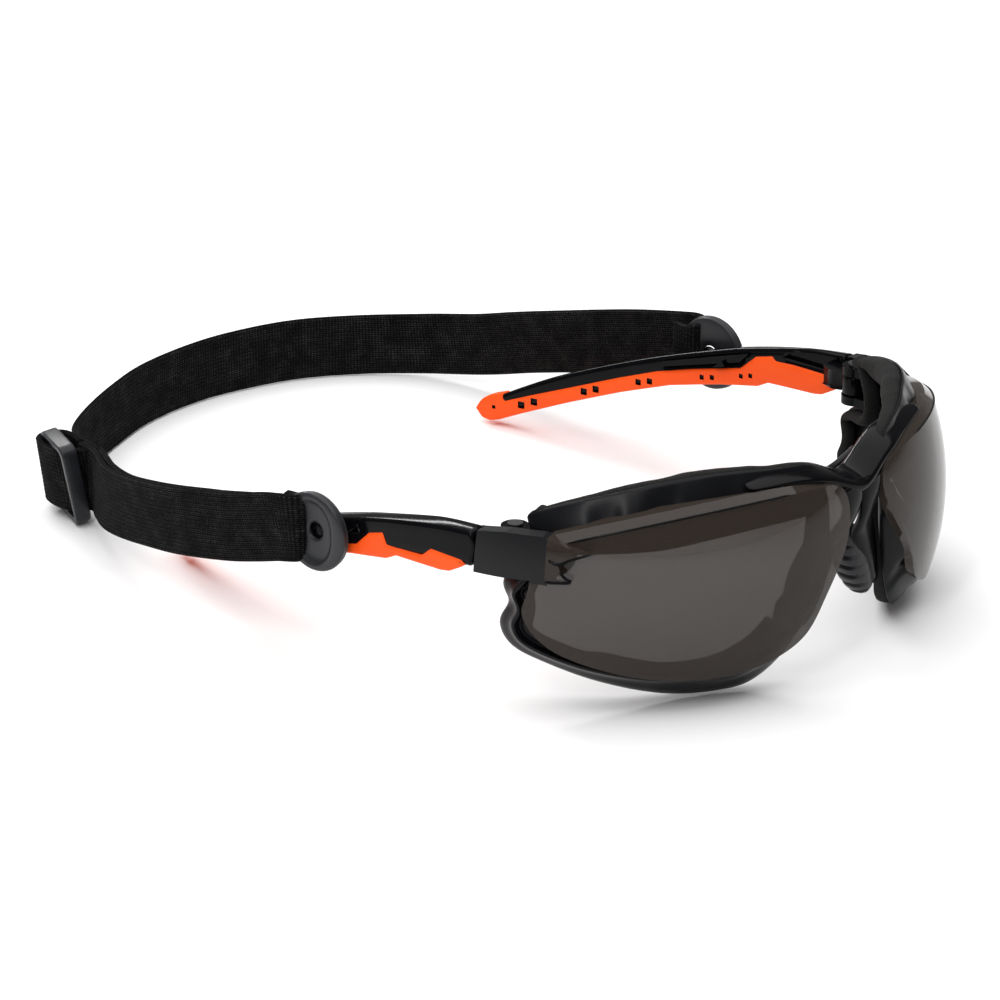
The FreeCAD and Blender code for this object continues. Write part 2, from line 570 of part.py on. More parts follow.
build()
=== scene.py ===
"""Safety glasses with tinted lenses, a foam-backed seal, folding temples and an elastic head strap."""
import json
import math

import bmesh
import bpy
from mathutils import Matrix, Vector, noise


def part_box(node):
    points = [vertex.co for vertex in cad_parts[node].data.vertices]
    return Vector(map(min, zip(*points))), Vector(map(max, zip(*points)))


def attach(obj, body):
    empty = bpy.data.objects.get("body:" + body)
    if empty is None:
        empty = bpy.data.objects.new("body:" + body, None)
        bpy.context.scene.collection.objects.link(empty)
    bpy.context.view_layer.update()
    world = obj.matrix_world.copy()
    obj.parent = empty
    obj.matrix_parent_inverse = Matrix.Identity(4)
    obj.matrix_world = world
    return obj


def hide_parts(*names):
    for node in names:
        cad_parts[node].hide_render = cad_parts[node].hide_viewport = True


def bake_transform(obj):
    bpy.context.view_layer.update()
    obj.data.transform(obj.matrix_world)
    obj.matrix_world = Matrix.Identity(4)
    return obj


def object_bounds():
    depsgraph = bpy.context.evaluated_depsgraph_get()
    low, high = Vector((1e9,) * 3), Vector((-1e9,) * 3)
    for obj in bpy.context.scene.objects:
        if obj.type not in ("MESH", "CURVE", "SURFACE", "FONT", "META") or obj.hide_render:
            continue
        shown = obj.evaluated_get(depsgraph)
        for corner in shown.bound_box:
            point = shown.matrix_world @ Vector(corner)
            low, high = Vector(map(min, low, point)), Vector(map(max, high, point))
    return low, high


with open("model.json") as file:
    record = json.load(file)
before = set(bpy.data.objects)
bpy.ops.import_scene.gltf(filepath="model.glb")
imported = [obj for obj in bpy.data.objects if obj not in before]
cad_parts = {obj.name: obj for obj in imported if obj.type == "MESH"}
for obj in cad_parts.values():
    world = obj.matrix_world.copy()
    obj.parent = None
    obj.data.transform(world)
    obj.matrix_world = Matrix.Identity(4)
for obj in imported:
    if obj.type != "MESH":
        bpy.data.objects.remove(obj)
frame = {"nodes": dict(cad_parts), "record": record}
CAD_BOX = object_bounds()

MM = 0.001
ROW_SHIFT = Vector((0.0, -113.6, 0.0))   # drawing frame (lens front near y = 0) to row frame, in mm
SIDES = (("left_", 1), ("right_", -1))
SQUARE = ((-1, -1), (1, -1), (1, 1), (-1, 1))

# Camera
VIEW_TARGET = Vector((-26.0, 86.16, 25.0))
VIEW_AZIMUTH, VIEW_ELEVATION = -49.83, 22.96
VIEW_DISTANCE = 0.9922
FOCAL_LENGTH = 159.26

# The sphere that the lens and the seal are drawn on, and the seal's depth
LENS_CENTRE = Vector((10.0, 61.0, 26.0))
SEAL_FRONT_RADIUS, SEAL_BACK_RADIUS = 55.7, 47.4
FLANGE_THICKNESS = 1.8
WALL_THICKNESS = 2.0
FOAM_WIDTH, FOAM_DEPTH = 5.6, 4.4
FOAM_INSET = 0.5
# The foam's section: share of its width from the outside in, and share of its depth
FOAM_SECTION = [
    (0, -0.1), (-0.05, 0.35), (0.03, 0.8), (0.2, 1), (0.5, 1.06), (0.8, 1), (0.97, 0.8),
    (1.05, 0.35), (1, -0.1),
]
RIM_PROUD, RIM_WIDTH, RIM_STEP = 1.3, 1.1, 2.2

# The lug's opaque part: behind this azimuth and between these heights
LUG_BLACK_AZIMUTH = 69.5
LUG_BLACK_HEIGHT, LUG_TOP_HEIGHT = 30.2, 42.5
# The brow crease's plane: its normal, and its height along it from the lens centre, in mm
CREASE_NORMAL = Vector((-0.152, 0.401, 0.903))
CREASE_HEIGHT = -4.7
LENS_ALPHA, LEDGE_ALPHA = 0.8, 0.93      # opacity below and above the crease

WEB_WIDTH = 16.0
WEB_THICKNESS = 1.3
WEB_STEP = 0.6               # between the webbing's cross sections
RIB_PITCH = 1.0
RIB_RELIEF = 0.09
STITCH_RELIEF = 0.03
SLOT_GATHER = 3.4            # how much narrower the inner layers are behind the disc

# Left seal: azimuth and height of the front edge, of the back edge, and the flange's width
SEAL_STATIONS = [
    (2, 41.2, 2, 49, 1.8), (17, 42.6, 17, 51.7, 1.8), (32, 42, 32, 52.2, 1.8),
    (45, 40.4, 45, 51.3, 1.8), (56, 39.6, 58, 49, 1.8), (65, 38.8, 70, 46, 1.8),
    (71, 37.2, 77.8, 42.8, 2), (74, 35, 73.5, 41.2, 2.4), (75, 32.8, 69.3, 36.5, 2.8),
    (75.4, 30.6, 70.5, 31.6, 3.2), (76.8, 28.6, 80, 29.8, 3.8), (78.6, 26, 83.4, 26.6, 4.6),
    (77.2, 22.6, 81.6, 22.4, 3.6), (79, 18.5, 84.2, 17, 4.4), (77, 14.4, 81.2, 11.8, 4.2),
    (70, 11.6, 72.5, 8.6, 4), (58, 8.8, 59, 4.6, 3.9), (43, 6.9, 43, 1.4, 4.2),
    (30, 7.4, 30, 0.7, 5.2), (19.5, 10.6, 19, 1.9, 6.4), (11.4, 17.4, 9.5, 8.6, 7.4),
    (4.8, 26.5, 3.6, 21, 6.6), (0.8, 35.2, 0.8, 34, 4.8),
]
VENT_AZIMUTHS = (14.0, 29.0, 44.0, 59.0)

# Undersides of the lug's tips, as (azimuth, height); the painted shade beads run along them
UPPER_TIP = [(69, 36.6), (66.8, 35.9), (64.4, 37), (62, 38), (60, 38.7)]
LOWER_TIP = [(66.4, 34.6), (65.6, 33.4), (64.2, 32.3), (66.6, 31.9), (69.6, 31.7)]
# Bridge: distance from the middle, then its section as (y, z) from the front low edge over the top
BRIDGE_SECTIONS = [
    (0, [(5.4, 39.8), (4.4, 41.6), (4.9, 43.2), (8.2, 44.4), (13, 45), (12.9, 43), (8.8, 41.2)]),
    (4, [(5.6, 41.4), (4.7, 43), (5.3, 44.6), (8.8, 45.7), (13.4, 46.2), (13.2, 44), (9.1, 42.8)]),
    (9, [(6.3, 44.2), (5.7, 45.5), (6.5, 46.8), (9.9, 48.1), (13.9, 48.7), (13.6, 46.6), (10, 45.4)]),
    (14, [(7, 46.4), (6.6, 47.2), (7.4, 48.1), (10.7, 49.5), (14.4, 50.1), (14.2, 48.6), (11.1, 47.6)]),
    (19, [(8.6, 47.4), (8.4, 48), (9.1, 48.7), (11.6, 49.9), (14.4, 50.5), (14.2, 49.4), (11.8, 48.4)]),
    (25, [(10.5, 48.1), (10.4, 48.5), (10.9, 48.9), (12.5, 49.8), (14.6, 50.4), (14.4, 49.6), (12.7, 48.7)]),
    (31, [(12.6, 48.7), (12.6, 48.9), (12.9, 49.1), (13.7, 49.5), (14.8, 49.8), (14.6, 49.4), (13.8, 49)]),
]
# Left stem of the bracket that carries the nose pads: x, y, z, half width, half depth
STEM_STATIONS = [
    (3.6, 6.8, 43.2, 4.3, 1.6), (3.2, 6, 39.5, 3.3, 1.3), (3.4, 6.6, 35.5, 2.3, 1.2),
    (4.8, 8.2, 31.6, 2.5, 1.2), (6.6, 10, 28.4, 3.5, 1.6), (8.6, 11, 24.6, 3.4, 1.8),
    (11, 11.8, 19, 3.1, 1.8), (13.4, 12.4, 13.4, 2.3, 1.5),
]
# Left nose pad's middle line: x, y, z, half width, half depth
PAD_STATIONS = [
    (4.6, 12.6, 29.6, 1.2, 1.6), (5, 13, 27.8, 2.6, 3), (6.4, 13.6, 24, 3.4, 3.8),
    (8.4, 14, 19.6, 3.6, 4.2), (10.4, 14, 15.4, 3.2, 3.8), (12.2, 13.8, 12, 2.2, 2.8),
    (13, 13.6, 10.6, 1, 1.4),
]

# Temple arms: plan curve, and the edges of each face as (y, z), seen from the side
ARM_INNER_X, ARM_CURVE_IN = 65.0, 11.0
ARM_FRONT_Y, ARM_BACK_Y = 57.1, 159.4
ARM_FRONT_THICKNESS, ARM_TIP_THICKNESS = 4.4, 3.3
GRIP_PROUD = 0.35
RIGHT_BOW = Vector((3.0, 0.0, 0.7))      # how far the right temple's tip is bowed in and up
BOW_START = 105.0
BARREL_RADIUS, BARREL_HEIGHT, BARREL_MIDDLE = 2.95, 4.5, 35.5
ARM_NECK = [(60.3, 57.2), (61.6, 61), (65.8, 61), (65.3, 57.6), (64.9, 55.6), (63.9, 54.2)]
ARM_TOP_INNER = [
    (57.1, 39.9), (66, 39.2), (72.4, 38.1), (86.7, 34.7), (93.7, 32.7), (107.8, 28.2),
    (121.8, 23.2), (139, 16.2), (153, 9.1), (158, 6.1), (159.6, 4.2),
]
ARM_TOP_OUTER = [
    (57.1, 39.4), (66.7, 38.3), (78.3, 36.2), (87, 34.2), (95, 32), (107.8, 27.6),
    (121.8, 22.6), (139, 15.6), (153, 8.6), (158, 5.8), (159.6, 3.8),
]
ARM_BOTTOM = [
    (57.1, 31.2), (66, 30.6), (78.5, 28.9), (86, 26.6), (93.5, 24.9), (107.7, 21.3),
    (121.7, 16.6), (135.6, 11.1), (149.3, 5.4), (156.5, 2.9), (159.6, 2.6),
]
GRIP_TOP_INNER = [
    (59.4, 32.6), (60.4, 33.9), (72.2, 34.1), (77.3, 33.8), (78.3, 34.8), (83, 33.6),
    (87.4, 29.7), (100.7, 26.4), (111.3, 23.4), (121.8, 19.5), (135.6, 14), (145.9, 10),
    (153.6, 6.9), (154.4, 8.9), (157.4, 7.9), (159.5, 6.5), (160.6, 5.2), (161, 4),
]
GRIP_TOP_OUTER = [
    (59.4, 31.4), (60.4, 32.3), (69.1, 32.4), (72, 29.9), (82.2, 29.5), (83.4, 32),
    (87.6, 30.7), (91.6, 26.9), (100.7, 24.2), (111.3, 21.4), (121.8, 17.9), (135.6, 12.7),
    (145.9, 9), (153.6, 6.3), (154.4, 8.5), (157.4, 7.6), (159.5, 6.3), (160.6, 5.1),
    (161, 3.9),
]
GRIP_BOTTOM = [
    (59.4, 31.2), (60.6, 30.4), (64, 28.5), (66.2, 28.1), (79.5, 27.6), (82.6, 26),
    (93.5, 23.9), (107.7, 20.4), (121.7, 15.5), (135.6, 10), (149.3, 4.2), (154.8, 1.7),
    (157.4, 0.9), (159.3, 1.3), (160.5, 2.4), (161, 3.6),
]
GRIP_POCKETS = [
    (84.3, 28.4, 0.55), (87, 27.7, 0.55), (95.3, 25.4, 0.6), (98.2, 24.8, 0.6),
    (113, 20.4, 0.75), (116.2, 19.5, 0.75), (128.1, 15.1, 0.85), (131.4, 13.8, 0.85),
    (145.2, 8.3, 0.9), (148.7, 6.8, 0.9), (156.2, 4.9, 0.45),
]
REAR_RECESS = [(109.2, 26.6), (90.9, 32.2), (84.5, 34.1), (87, 31.4), (109.2, 25.3)]
FRONT_RECESS = [(75.2, 35.2), (72.3, 37.4), (59, 38.9), (59, 35)]
ARM_WINDOW = [(94, 28.8), (91.4, 31), (90.6, 29.7)]

# Strap disc: radius and height above its inner face, from the bore out over the rim and back underneath
DISC_PROFILE = [
    (1.9, -0.1), (1.9, 1), (2.25, 1.32), (4.2, 1.38), (6, 1.55), (6.9, 1.85), (7.4, 2.35),
    (7.9, 2.62), (8.6, 2.55), (9.1, 2.15), (9.25, 1.6), (9.1, 1.15), (8.75, 0.95), (8.95, 0.7),
    (9, 0.35), (8.6, 0), (5, -0.05),
]
LINK_ARCH = 0.45             # how far the ends of the strip between the seals rise, in half heights
DISH_SQUEEZE = 0.24          # how much narrower than tall the dish is

# Webbing routes, as (x, y, z) of the middle of the strip
LEFT_BAND_ROUTE = [
    (71.3, 104.3, 28.2), (72.9, 105.3, 28.2), (73.6, 107.6, 28), (73.7, 111.6, 27.3),
    (73.7, 118, 26), (73.8, 126, 24.2), (74, 138, 21.2), (74, 150, 18.1),
    (73.8, 163, 14.7), (72.8, 176, 11.3), (68.8, 191.5, 8.8), (59, 205, 8.1),
    (45, 215.5, 8.1), (29, 221.5, 8.1), (14, 223.6, 8.1), (-1, 222.8, 8.1),
    (-15, 218.8, 8.1), (-28, 214, 8.1), (-38.6, 208.2, 8.3), (-45.3, 201.7, 9.2),
    (-49.5, 193.3, 10.4), (-52.9, 186.1, 11.4),
]
RIGHT_BAND_ROUTE = [
    (-71.3, 104.3, 28.2), (-72.9, 105.3, 28.2), (-73.6, 107.6, 28), (-73.7, 111.6, 27.2),
    (-73.7, 118, 25.3), (-73.7, 126, 23.2), (-73.2, 137, 21), (-71.2, 149.4, 18.3),
    (-67.6, 162.5, 15.6), (-62.9, 174, 13.6), (-57.8, 182, 12.4), (-53.7, 187.6, 11.3),
    (-51, 193.6, 10.4),
]
RETURN_ROUTE = [
    (-69.5, 107.6, 28), (-69.7, 112.6, 27.1), (-71, 119, 25.4), (-72.2, 128, 22.8),
    (-71.6, 137.4, 20.6), (-69.6, 149.8, 18), (-66, 162, 15.2), (-61.2, 172.8, 13.6),
    (-56.4, 180.6, 12.4), (-53.1, 185.7, 11.5),
]
LOOP_ROUTE = [
    (72.8, 108), (72.9, 106.6), (72.7, 105.3), (71.9, 104.3), (70.6, 104.3), (69.2, 104.9),
    (68.7, 106.6), (68.8, 108.8), (69.1, 111),
]
# The adjuster: middle, direction of the webbing through it, and lean
BUCKLE_MIDDLE = Vector((-52.5, 194.7, 10.6))
BUCKLE_ALONG = Vector((0.419, 0.908, 0.0))
BUCKLE_OUT = Vector((-0.908, 0.419, 0.0))
BUCKLE_OUT_SHIFT = 2.5      # the frame's middle stands this far outside the webbing's line
BUCKLE_LEAN = 10.0
BUCKLE_LENGTH, BUCKLE_HEIGHT, BUCKLE_DEPTH = 15.4, 20.4, 3.8
BUCKLE_BAR = 2.1
# The webbing's turn round the adjuster's rear bar: along the strap and outward
TAIL_ROUTE = [
    (-4, -2.3), (-3.6, 0.6), (-2.4, 3.2), (1, 5.2), (5, 5.9), (8.3, 4.9), (9.6, 2),
    (8.6, -1.2), (5.6, -2.6), (1.5, -3),
]


def row(point):
    """A point of the drawing frame (mm) in the row frame (m)."""
    return (Vector(point) + ROW_SHIFT) * MM


def sphere_point(side, azimuth, radius, height, on_sphere=True):
    """A point about the lens centre, by the sphere's radius or the level distance from its axis."""
    level = math.sqrt(max(radius ** 2 - (height - LENS_CENTRE.z) ** 2, 1.0)) if on_sphere else radius
    a = math.radians(azimuth)
    across = LENS_CENTRE.x + level * math.sin(a)
    return Vector((side * across, LENS_CENTRE.y - level * math.cos(a), height))


def smooth_path(points, count, closed=False):
    """Evenly spread values on a smooth curve through the given tuples."""
    rows = [Vector(p) for p in points]
    last = len(rows)
    spans = last if closed else last - 1

    def at(i):
        return rows[i % last] if closed else rows[min(max(i, 0), last - 1)]

    fine = []
    for i in range(spans):
        p0, p1, p2, p3 = at(i - 1), at(i), at(i + 1), at(i + 2)
        for k in range(16):
            t = k / 16
            fine.append(0.5 * ((2 * p1) + (p2 - p0) * t + (2 * p0 - 5 * p1 + 4 * p2 - p3) * t ** 2
                               + (3 * p1 - p0 - 3 * p2 + p3) * t ** 3))
    fine.append(at(0) if closed else rows[-1])
    along = [0.0]
    for a, b in zip(fine, fine[1:]):
        along.append(along[-1] + (b - a).length)
    steps = count if closed else count - 1
    out, j = [], 0
    for i in range(count):
        want = along[-1] * i / steps
        while j < len(fine) - 2 and along[j + 1] < want:
            j += 1
        t = (want - along[j]) / max(along[j + 1] - along[j], 1e-9)
        out.append(fine[j].lerp(fine[j + 1], t))
    return out, along[-1]


def unit(value):
    """A value held between 0 and 1."""
    return min(1.0, max(0.0, value))


def smooth_step(low, high, value):
    t = unit((value - low) / (high - low))
    return t * t * (3 - 2 * t)


def circle(count):
    """Cosines and sines of evenly spaced angles."""
    angles = [2 * math.pi * k / count for k in range(count)]
    return [(math.cos(a), math.sin(a)) for a in angles]


def make_piece(name, vertices, faces, material, uvs=None, smooth=True):
    mesh = bpy.data.meshes.new(name)
    mesh.from_pydata([tuple(v) for v in vertices], [], faces)
    if uvs:
        layer = mesh.uv_layers.new(name="weave")
        for loop in mesh.loops:
            layer.data[loop.index].uv = uvs[loop.vertex_index]
    mesh.update()
    for polygon in mesh.polygons:
        polygon.use_smooth = smooth
    piece = bpy.data.objects.new(name, mesh)
    bpy.context.scene.collection.objects.link(piece)
    mesh.materials.append(material)
    return piece


def tube_faces(rings, size, wrap=False):
    """Faces between rings of points, each ring a closed section, with ends or wrapped round."""
    faces = []
    for i in range(rings if wrap else rings - 1):
        a, b = i * size, (i + 1) % rings * size
        for j in range(size):
            k = (j + 1) % size
            faces.append((a + j, b + j, b + k, a + k))
    if not wrap:
        faces.append(tuple(range(size)))
        faces.append(tuple(reversed(range((rings - 1) * size, rings * size))))
    return faces


def wrapped_piece(name, rings, material):
    """A piece whose rings of points run round and meet again."""
    points = [point for ring in rings for point in ring]
    return make_piece(name, points, tube_faces(len(rings), len(rings[0]), wrap=True), material)


def face_out(piece):
    """Turns a closed piece's faces outward."""
    work = bmesh.new()
    work.from_mesh(piece.data)
    bmesh.ops.recalc_face_normals(work, faces=work.faces)
    work.to_mesh(piece.data)
    work.free()
    return piece


def evaluated_mesh(holder):
    graph = bpy.context.evaluated_depsgraph_get()
    return bpy.data.meshes.new_from_object(holder.evaluated_get(graph))


def keep_modified(piece):
    """Replaces a piece's mesh by what its modifiers make of it."""
    mesh = evaluated_mesh(piece)
    piece.modifiers.clear()
    piece.data = mesh
    return piece


def soften(piece, levels=1):
    """Subdivides a piece's surface and keeps the result."""
    modifier = piece.modifiers.new("soften", "SUBSURF")
    modifier.levels = modifier.render_levels = levels
    return keep_modified(piece)


# Materials

GRAIN_DEPTH = 0.00006        # of moulded surfaces, in metres
KNIT_ROW, KNIT_STITCH = 0.5, 0.8         # spacing of the webbing's knit in mm
# Moulded materials: dark and light colour, roughness and its spread, specular level, and where they
# differ from the usual, the grain's scale and relief
MOULDED = {
    "frame_black": ((0.0014, 0.0015, 0.002), (0.0028, 0.003, 0.0038), 0.15, 0.08, 0.09),
    "gasket_rubber": ((0.0028, 0.003, 0.0038), (0.0052, 0.0055, 0.0068), 0.3, 0.12, 0.13),
    "orange_grip": ((0.97, 0.083, 0.0045), (1.0, 0.1, 0.006), 0.5, 0.1, 0.2, 1800.0, 0.18),
    "buckle_plastic": ((0.009, 0.0095, 0.012), (0.016, 0.017, 0.02), 0.34, 0.1, 0.26),
    "disc_rubber": ((0.016, 0.0165, 0.0195), (0.024, 0.0245, 0.028), 0.36, 0.12, 0.3),
    "nose_pad_rubber": ((0.011, 0.0115, 0.014), (0.017, 0.0175, 0.02), 0.38, 0.12, 0.3),
}


def new_material(name):
    material = bpy.data.materials.new(name)
    material.use_nodes = True
    return material, material.node_tree, material.node_tree.nodes["Principled BSDF"]


def set_inputs(node, values):
    for name, value in values.items():
        node.inputs[name].default_value = value


def math_node(tree, operation, a, b=None, c=None, clamp=False):
    node = tree.nodes.new("ShaderNodeMath")
    node.operation = operation
    node.use_clamp = clamp
    for socket, value in zip(node.inputs, (a, b, c)):
        if value is None:
            continue
        if isinstance(value, (int, float)):
            socket.default_value = value
        else:
            tree.links.new(value, socket)
    return node.outputs[0]


def object_position(tree):
    return tree.nodes.new("ShaderNodeTexCoord").outputs["Object"]


def noise_texture(tree, position, scale, detail=2.0, roughness=0.5):
    node = tree.nodes.new("ShaderNodeTexNoise")
    set_inputs(node, {"Scale": scale, "Detail": detail, "Roughness": roughness})
    tree.links.new(position, node.inputs["Vector"])
    return node.outputs["Fac"]


def ramp(tree, value, stops):
    node = tree.nodes.new("ShaderNodeValToRGB")
    elements = node.color_ramp.elements
    while len(elements) < len(stops):
        elements.new(0.5)
    for element, (place, colour) in zip(elements, stops):
        element.position = place
        element.color = (*colour, 1.0)
    tree.links.new(value, node.inputs["Fac"])
    return node.outputs["Color"]


def bump(tree, shader, height, strength, distance):
    node = tree.nodes.new("ShaderNodeBump")
    set_inputs(node, {"Strength": strength, "Distance": distance})
    tree.links.new(height, node.inputs["Height"])
    tree.links.new(node.outputs["Normal"], shader.inputs["Normal"])


def moulded(name, dark, light, roughness, spread, specular, grain=1400.0, relief=0.12):
    """Moulded plastic or rubber: fine grain, slow colour variation and uneven gloss."""
    material, tree, shader = new_material(name)
    position = object_position(tree)
    patches = noise_texture(tree, position, 90.0, 3.0)
    fine = noise_texture(tree, position, grain, 2.0)
    tree.links.new(ramp(tree, patches, [(0.3, dark), (0.7, light)]), shader.inputs["Base Color"])
    uneven = math_node(tree, "MULTIPLY_ADD", patches, spread, roughness - 0.5 * spread)
    tree.links.new(uneven, shader.inputs["Roughness"])
    set_inputs(shader, {"Specular IOR Level": specular})
    bump(tree, shader, fine, relief, GRAIN_DEPTH)
    return material


def smoked_lens():
    """Smoke-tinted polycarbonate; the outer lug is opaque black, and the brow ledge is denser."""
    material, tree, shader = new_material("smoke_lens")
    split = tree.nodes.new("ShaderNodeSeparateXYZ")
    tree.links.new(object_position(tree), split.inputs[0])
    x, y, z = split.outputs
    beside = math_node(tree, "ABSOLUTE", x)
    across = math_node(tree, "SUBTRACT", beside, LENS_CENTRE.x * MM)
    ahead = math_node(tree, "SUBTRACT", (LENS_CENTRE.y + ROW_SHIFT.y) * MM, y)
    azimuth = math_node(tree, "ARCTAN2", across, ahead)
    behind_edge = math_node(tree, "GREATER_THAN", azimuth, math.radians(LUG_BLACK_AZIMUTH))
    above_rim = math_node(tree, "GREATER_THAN", z, LUG_BLACK_HEIGHT * MM)
    below_ledge = math_node(tree, "LESS_THAN", z, LUG_TOP_HEIGHT * MM)
    black = math_node(tree, "MULTIPLY", behind_edge, above_rim)
    black = math_node(tree, "MULTIPLY", black, below_ledge)
    mix = tree.nodes.new("ShaderNodeMix")
    mix.data_type = "RGBA"
    tree.links.new(black, mix.inputs["Factor"])
    set_inputs(mix, {"A": (0.034, 0.026, 0.021, 1.0), "B": (0.004, 0.0042, 0.0052, 1.0)})
    tree.links.new(mix.outputs["Result"], shader.inputs["Base Color"])
    above = math_node(tree, "MULTIPLY", beside, CREASE_NORMAL.x)
    above = math_node(tree, "MULTIPLY_ADD", y, CREASE_NORMAL.y, above)
    above = math_node(tree, "MULTIPLY_ADD", z, CREASE_NORMAL.z, above)
    crease = CREASE_NORMAL.dot(LENS_CENTRE + ROW_SHIFT) + CREASE_HEIGHT
    ledge = math_node(tree, "GREATER_THAN", above, crease * MM)
    opacity = math_node(tree, "MULTIPLY_ADD", ledge, LEDGE_ALPHA - LENS_ALPHA, LENS_ALPHA)
    alpha = math_node(tree, "MAXIMUM", opacity, black, clamp=True)
    tree.links.new(alpha, shader.inputs["Alpha"])
    haze = noise_texture(tree, object_position(tree), 60.0, 2.0)
    gloss = math_node(tree, "MULTIPLY_ADD", haze, 0.03, 0.02)
    rough = math_node(tree, "MULTIPLY_ADD", black, 0.28, gloss)
    tree.links.new(rough, shader.inputs["Roughness"])
    set_inputs(shader, {"IOR": 1.42, "Specular IOR Level": 0.32})
    return material


def elastic_webbing():
    """Black knitted elastic: fine rows along the strip with short stitches, and fuzz. The colour follows the
    knit's height: painted highlight on the raised rows, stitches and fuzz, and painted shade in the dips
    between them, with slow patches of random tone.
    """
    material, tree, shader = new_material("strap_webbing")
    coordinates = tree.nodes.new("ShaderNodeUVMap")
    coordinates.uv_map = "weave"
    split = tree.nodes.new("ShaderNodeSeparateXYZ")
    tree.links.new(coordinates.outputs[0], split.inputs[0])
    along, across, _ = split.outputs
    rows = math_node(tree, "SINE", math_node(tree, "MULTIPLY", across, 2 * math.pi / KNIT_ROW))
    shift = math_node(tree, "MULTIPLY", rows, 1.6)
    shifted = math_node(tree, "MULTIPLY_ADD", along, 2 * math.pi / KNIT_STITCH, shift)
    stitches = math_node(tree, "MULTIPLY", math_node(tree, "SINE", shifted), 0.3)
    fuzz = noise_texture(tree, coordinates.outputs[0], 1.6, 4.0, 0.7)
    slow = noise_texture(tree, coordinates.outputs[0], 0.22, 3.0, 0.6)
    knit = math_node(tree, "MULTIPLY_ADD", rows, 0.35, stitches)
    height = math_node(tree, "MULTIPLY_ADD", fuzz, 1.4, knit)
    patches = math_node(tree, "MULTIPLY", slow, 0.55)
    # Painted light: the tone follows the knit's height, lighter where raised and darker where sunk, plus
    # slow random patches
    knit_shade_and_tone = math_node(tree, "MULTIPLY_ADD", height, 0.42, patches)
    # dark is painted shade in the knit's dips, light is painted highlight on its crests
    dark, middle, light = (0.0012, 0.0011, 0.0012), (0.0038, 0.0036, 0.0036), (0.052, 0.05, 0.049)
    colour = ramp(tree, knit_shade_and_tone, [(0.38, dark), (0.64, middle), (0.95, light)])
    tree.links.new(colour, shader.inputs["Base Color"])
    set_inputs(shader, {"Roughness": 0.92, "Specular IOR Level": 0.08, "Sheen Weight": 0.01,
                        "Sheen Roughness": 0.5})
    bump(tree, shader, height, 0.9, 0.00022)
    return material


def seal_foam():
    """Closed-cell foam with small open pores. The colour follows the bump's height: painted shade darkens
    the pores and hollows, over patches of random tone.
    """
    material, tree, shader = new_material("foam")
    position = object_position(tree)
    cells = tree.nodes.new("ShaderNodeTexVoronoi")
    set_inputs(cells, {"Scale": 1700.0})
    tree.links.new(position, cells.inputs["Vector"])
    patches = noise_texture(tree, position, 150.0, 4.0, 0.6)
    # Painted shade: darker where the bump is lower, in the pores and hollows; the patches add random tone
    height = math_node(tree, "ADD", cells.outputs["Distance"], patches)
    colour = ramp(tree, height, [(0.35, (0.0018, 0.0018, 0.0018)), (1.1, (0.013, 0.0125, 0.012))])
    tree.links.new(colour, shader.inputs["Base Color"])
    set_inputs(shader, {"Roughness": 0.88, "Specular IOR Level": 0.15})
    bump(tree, shader, height, 0.6, 0.00015)
    return material


def turned_steel():
    material, tree, shader = new_material("hinge_steel")
    scratches = noise_texture(tree, object_position(tree), 3000.0, 2.0)
    colour = ramp(tree, scratches, [(0.3, (0.10, 0.10, 0.11)), (0.7, (0.2, 0.2, 0.2))])
    tree.links.new(colour, shader.inputs["Base Color"])
    set_inputs(shader, {"Metallic": 1.0, "Roughness": 0.3})
    bump(tree, shader, scratches, 0.1, 0.00003)
    return material


def make_materials():
    materials = {name: moulded(name, *values) for name, values in MOULDED.items()}
    materials["smoke_lens"] = smoked_lens()
    materials["foam"] = seal_foam()
    materials["strap_webbing"] = elastic_webbing()
    materials["hinge_steel"] = turned_steel()
    return materials


# Pieces

def webbing(name, route, material, width_at=None, lean=Vector((0, 0, 0)), ripple=0.0):
    """A strip of ribbed webbing along a route, on edge, with the route in mm."""
    length = smooth_path(route, 2)[1]
    count = int(length / WEB_STEP)
    line = smooth_path(route, count)[0]
    steps = int(WEB_WIDTH / RIB_PITCH) * 2
    points, uvs = [], []
    for i, middle in enumerate(line):
        ahead = (line[min(i + 1, count - 1)] - line[max(i - 1, 0)]).normalized()
        left = Vector((-ahead.y, ahead.x, 0)).normalized()
        up = ahead.cross(left) + lean
        travel = i / (count - 1)
        half = 0.5 * (width_at(travel) if width_at else WEB_WIDTH)
        s = length * travel
        stitch = STITCH_RELIEF * (1 if i % 2 else -1)
        for face in (1, -1):
            order = range(steps + 1) if face > 0 else range(steps, -1, -1)
            for j in order:
                v = j / steps * 2 - 1
                edge = 0.55 if j in (0, steps) else 1.0
                rib = RIB_RELIEF * (1 if j % 2 else -1) + stitch * (1 if (j // 2) % 2 else -1)
                away = face * (0.5 * WEB_THICKNESS * edge + rib * edge)
                sway = ripple * v * math.sin(s / 8.3 + 1.2) + 0.5 * ripple * math.sin(s / 5.1) * v * v
                points.append(row(middle + left * (away + sway) + up * (half * v)))
                uvs.append((s, half * v + (20 if face < 0 else 0)))
    piece = make_piece(name, points, tube_faces(count, 2 * (steps + 1)), material, uvs)
    face_out(piece)
    return piece, length * MM


def tucked_in(travel):
    """Width of the return layer, which starts narrow behind the disc."""
    return WEB_WIDTH - SLOT_GATHER * (1 - smooth_step(0.0, 0.3, travel))


def gathered(travel):
    """Width of the turn round the disc's bar, which narrows behind it."""
    return WEB_WIDTH - SLOT_GATHER * smooth_step(0.0, 0.8, travel)


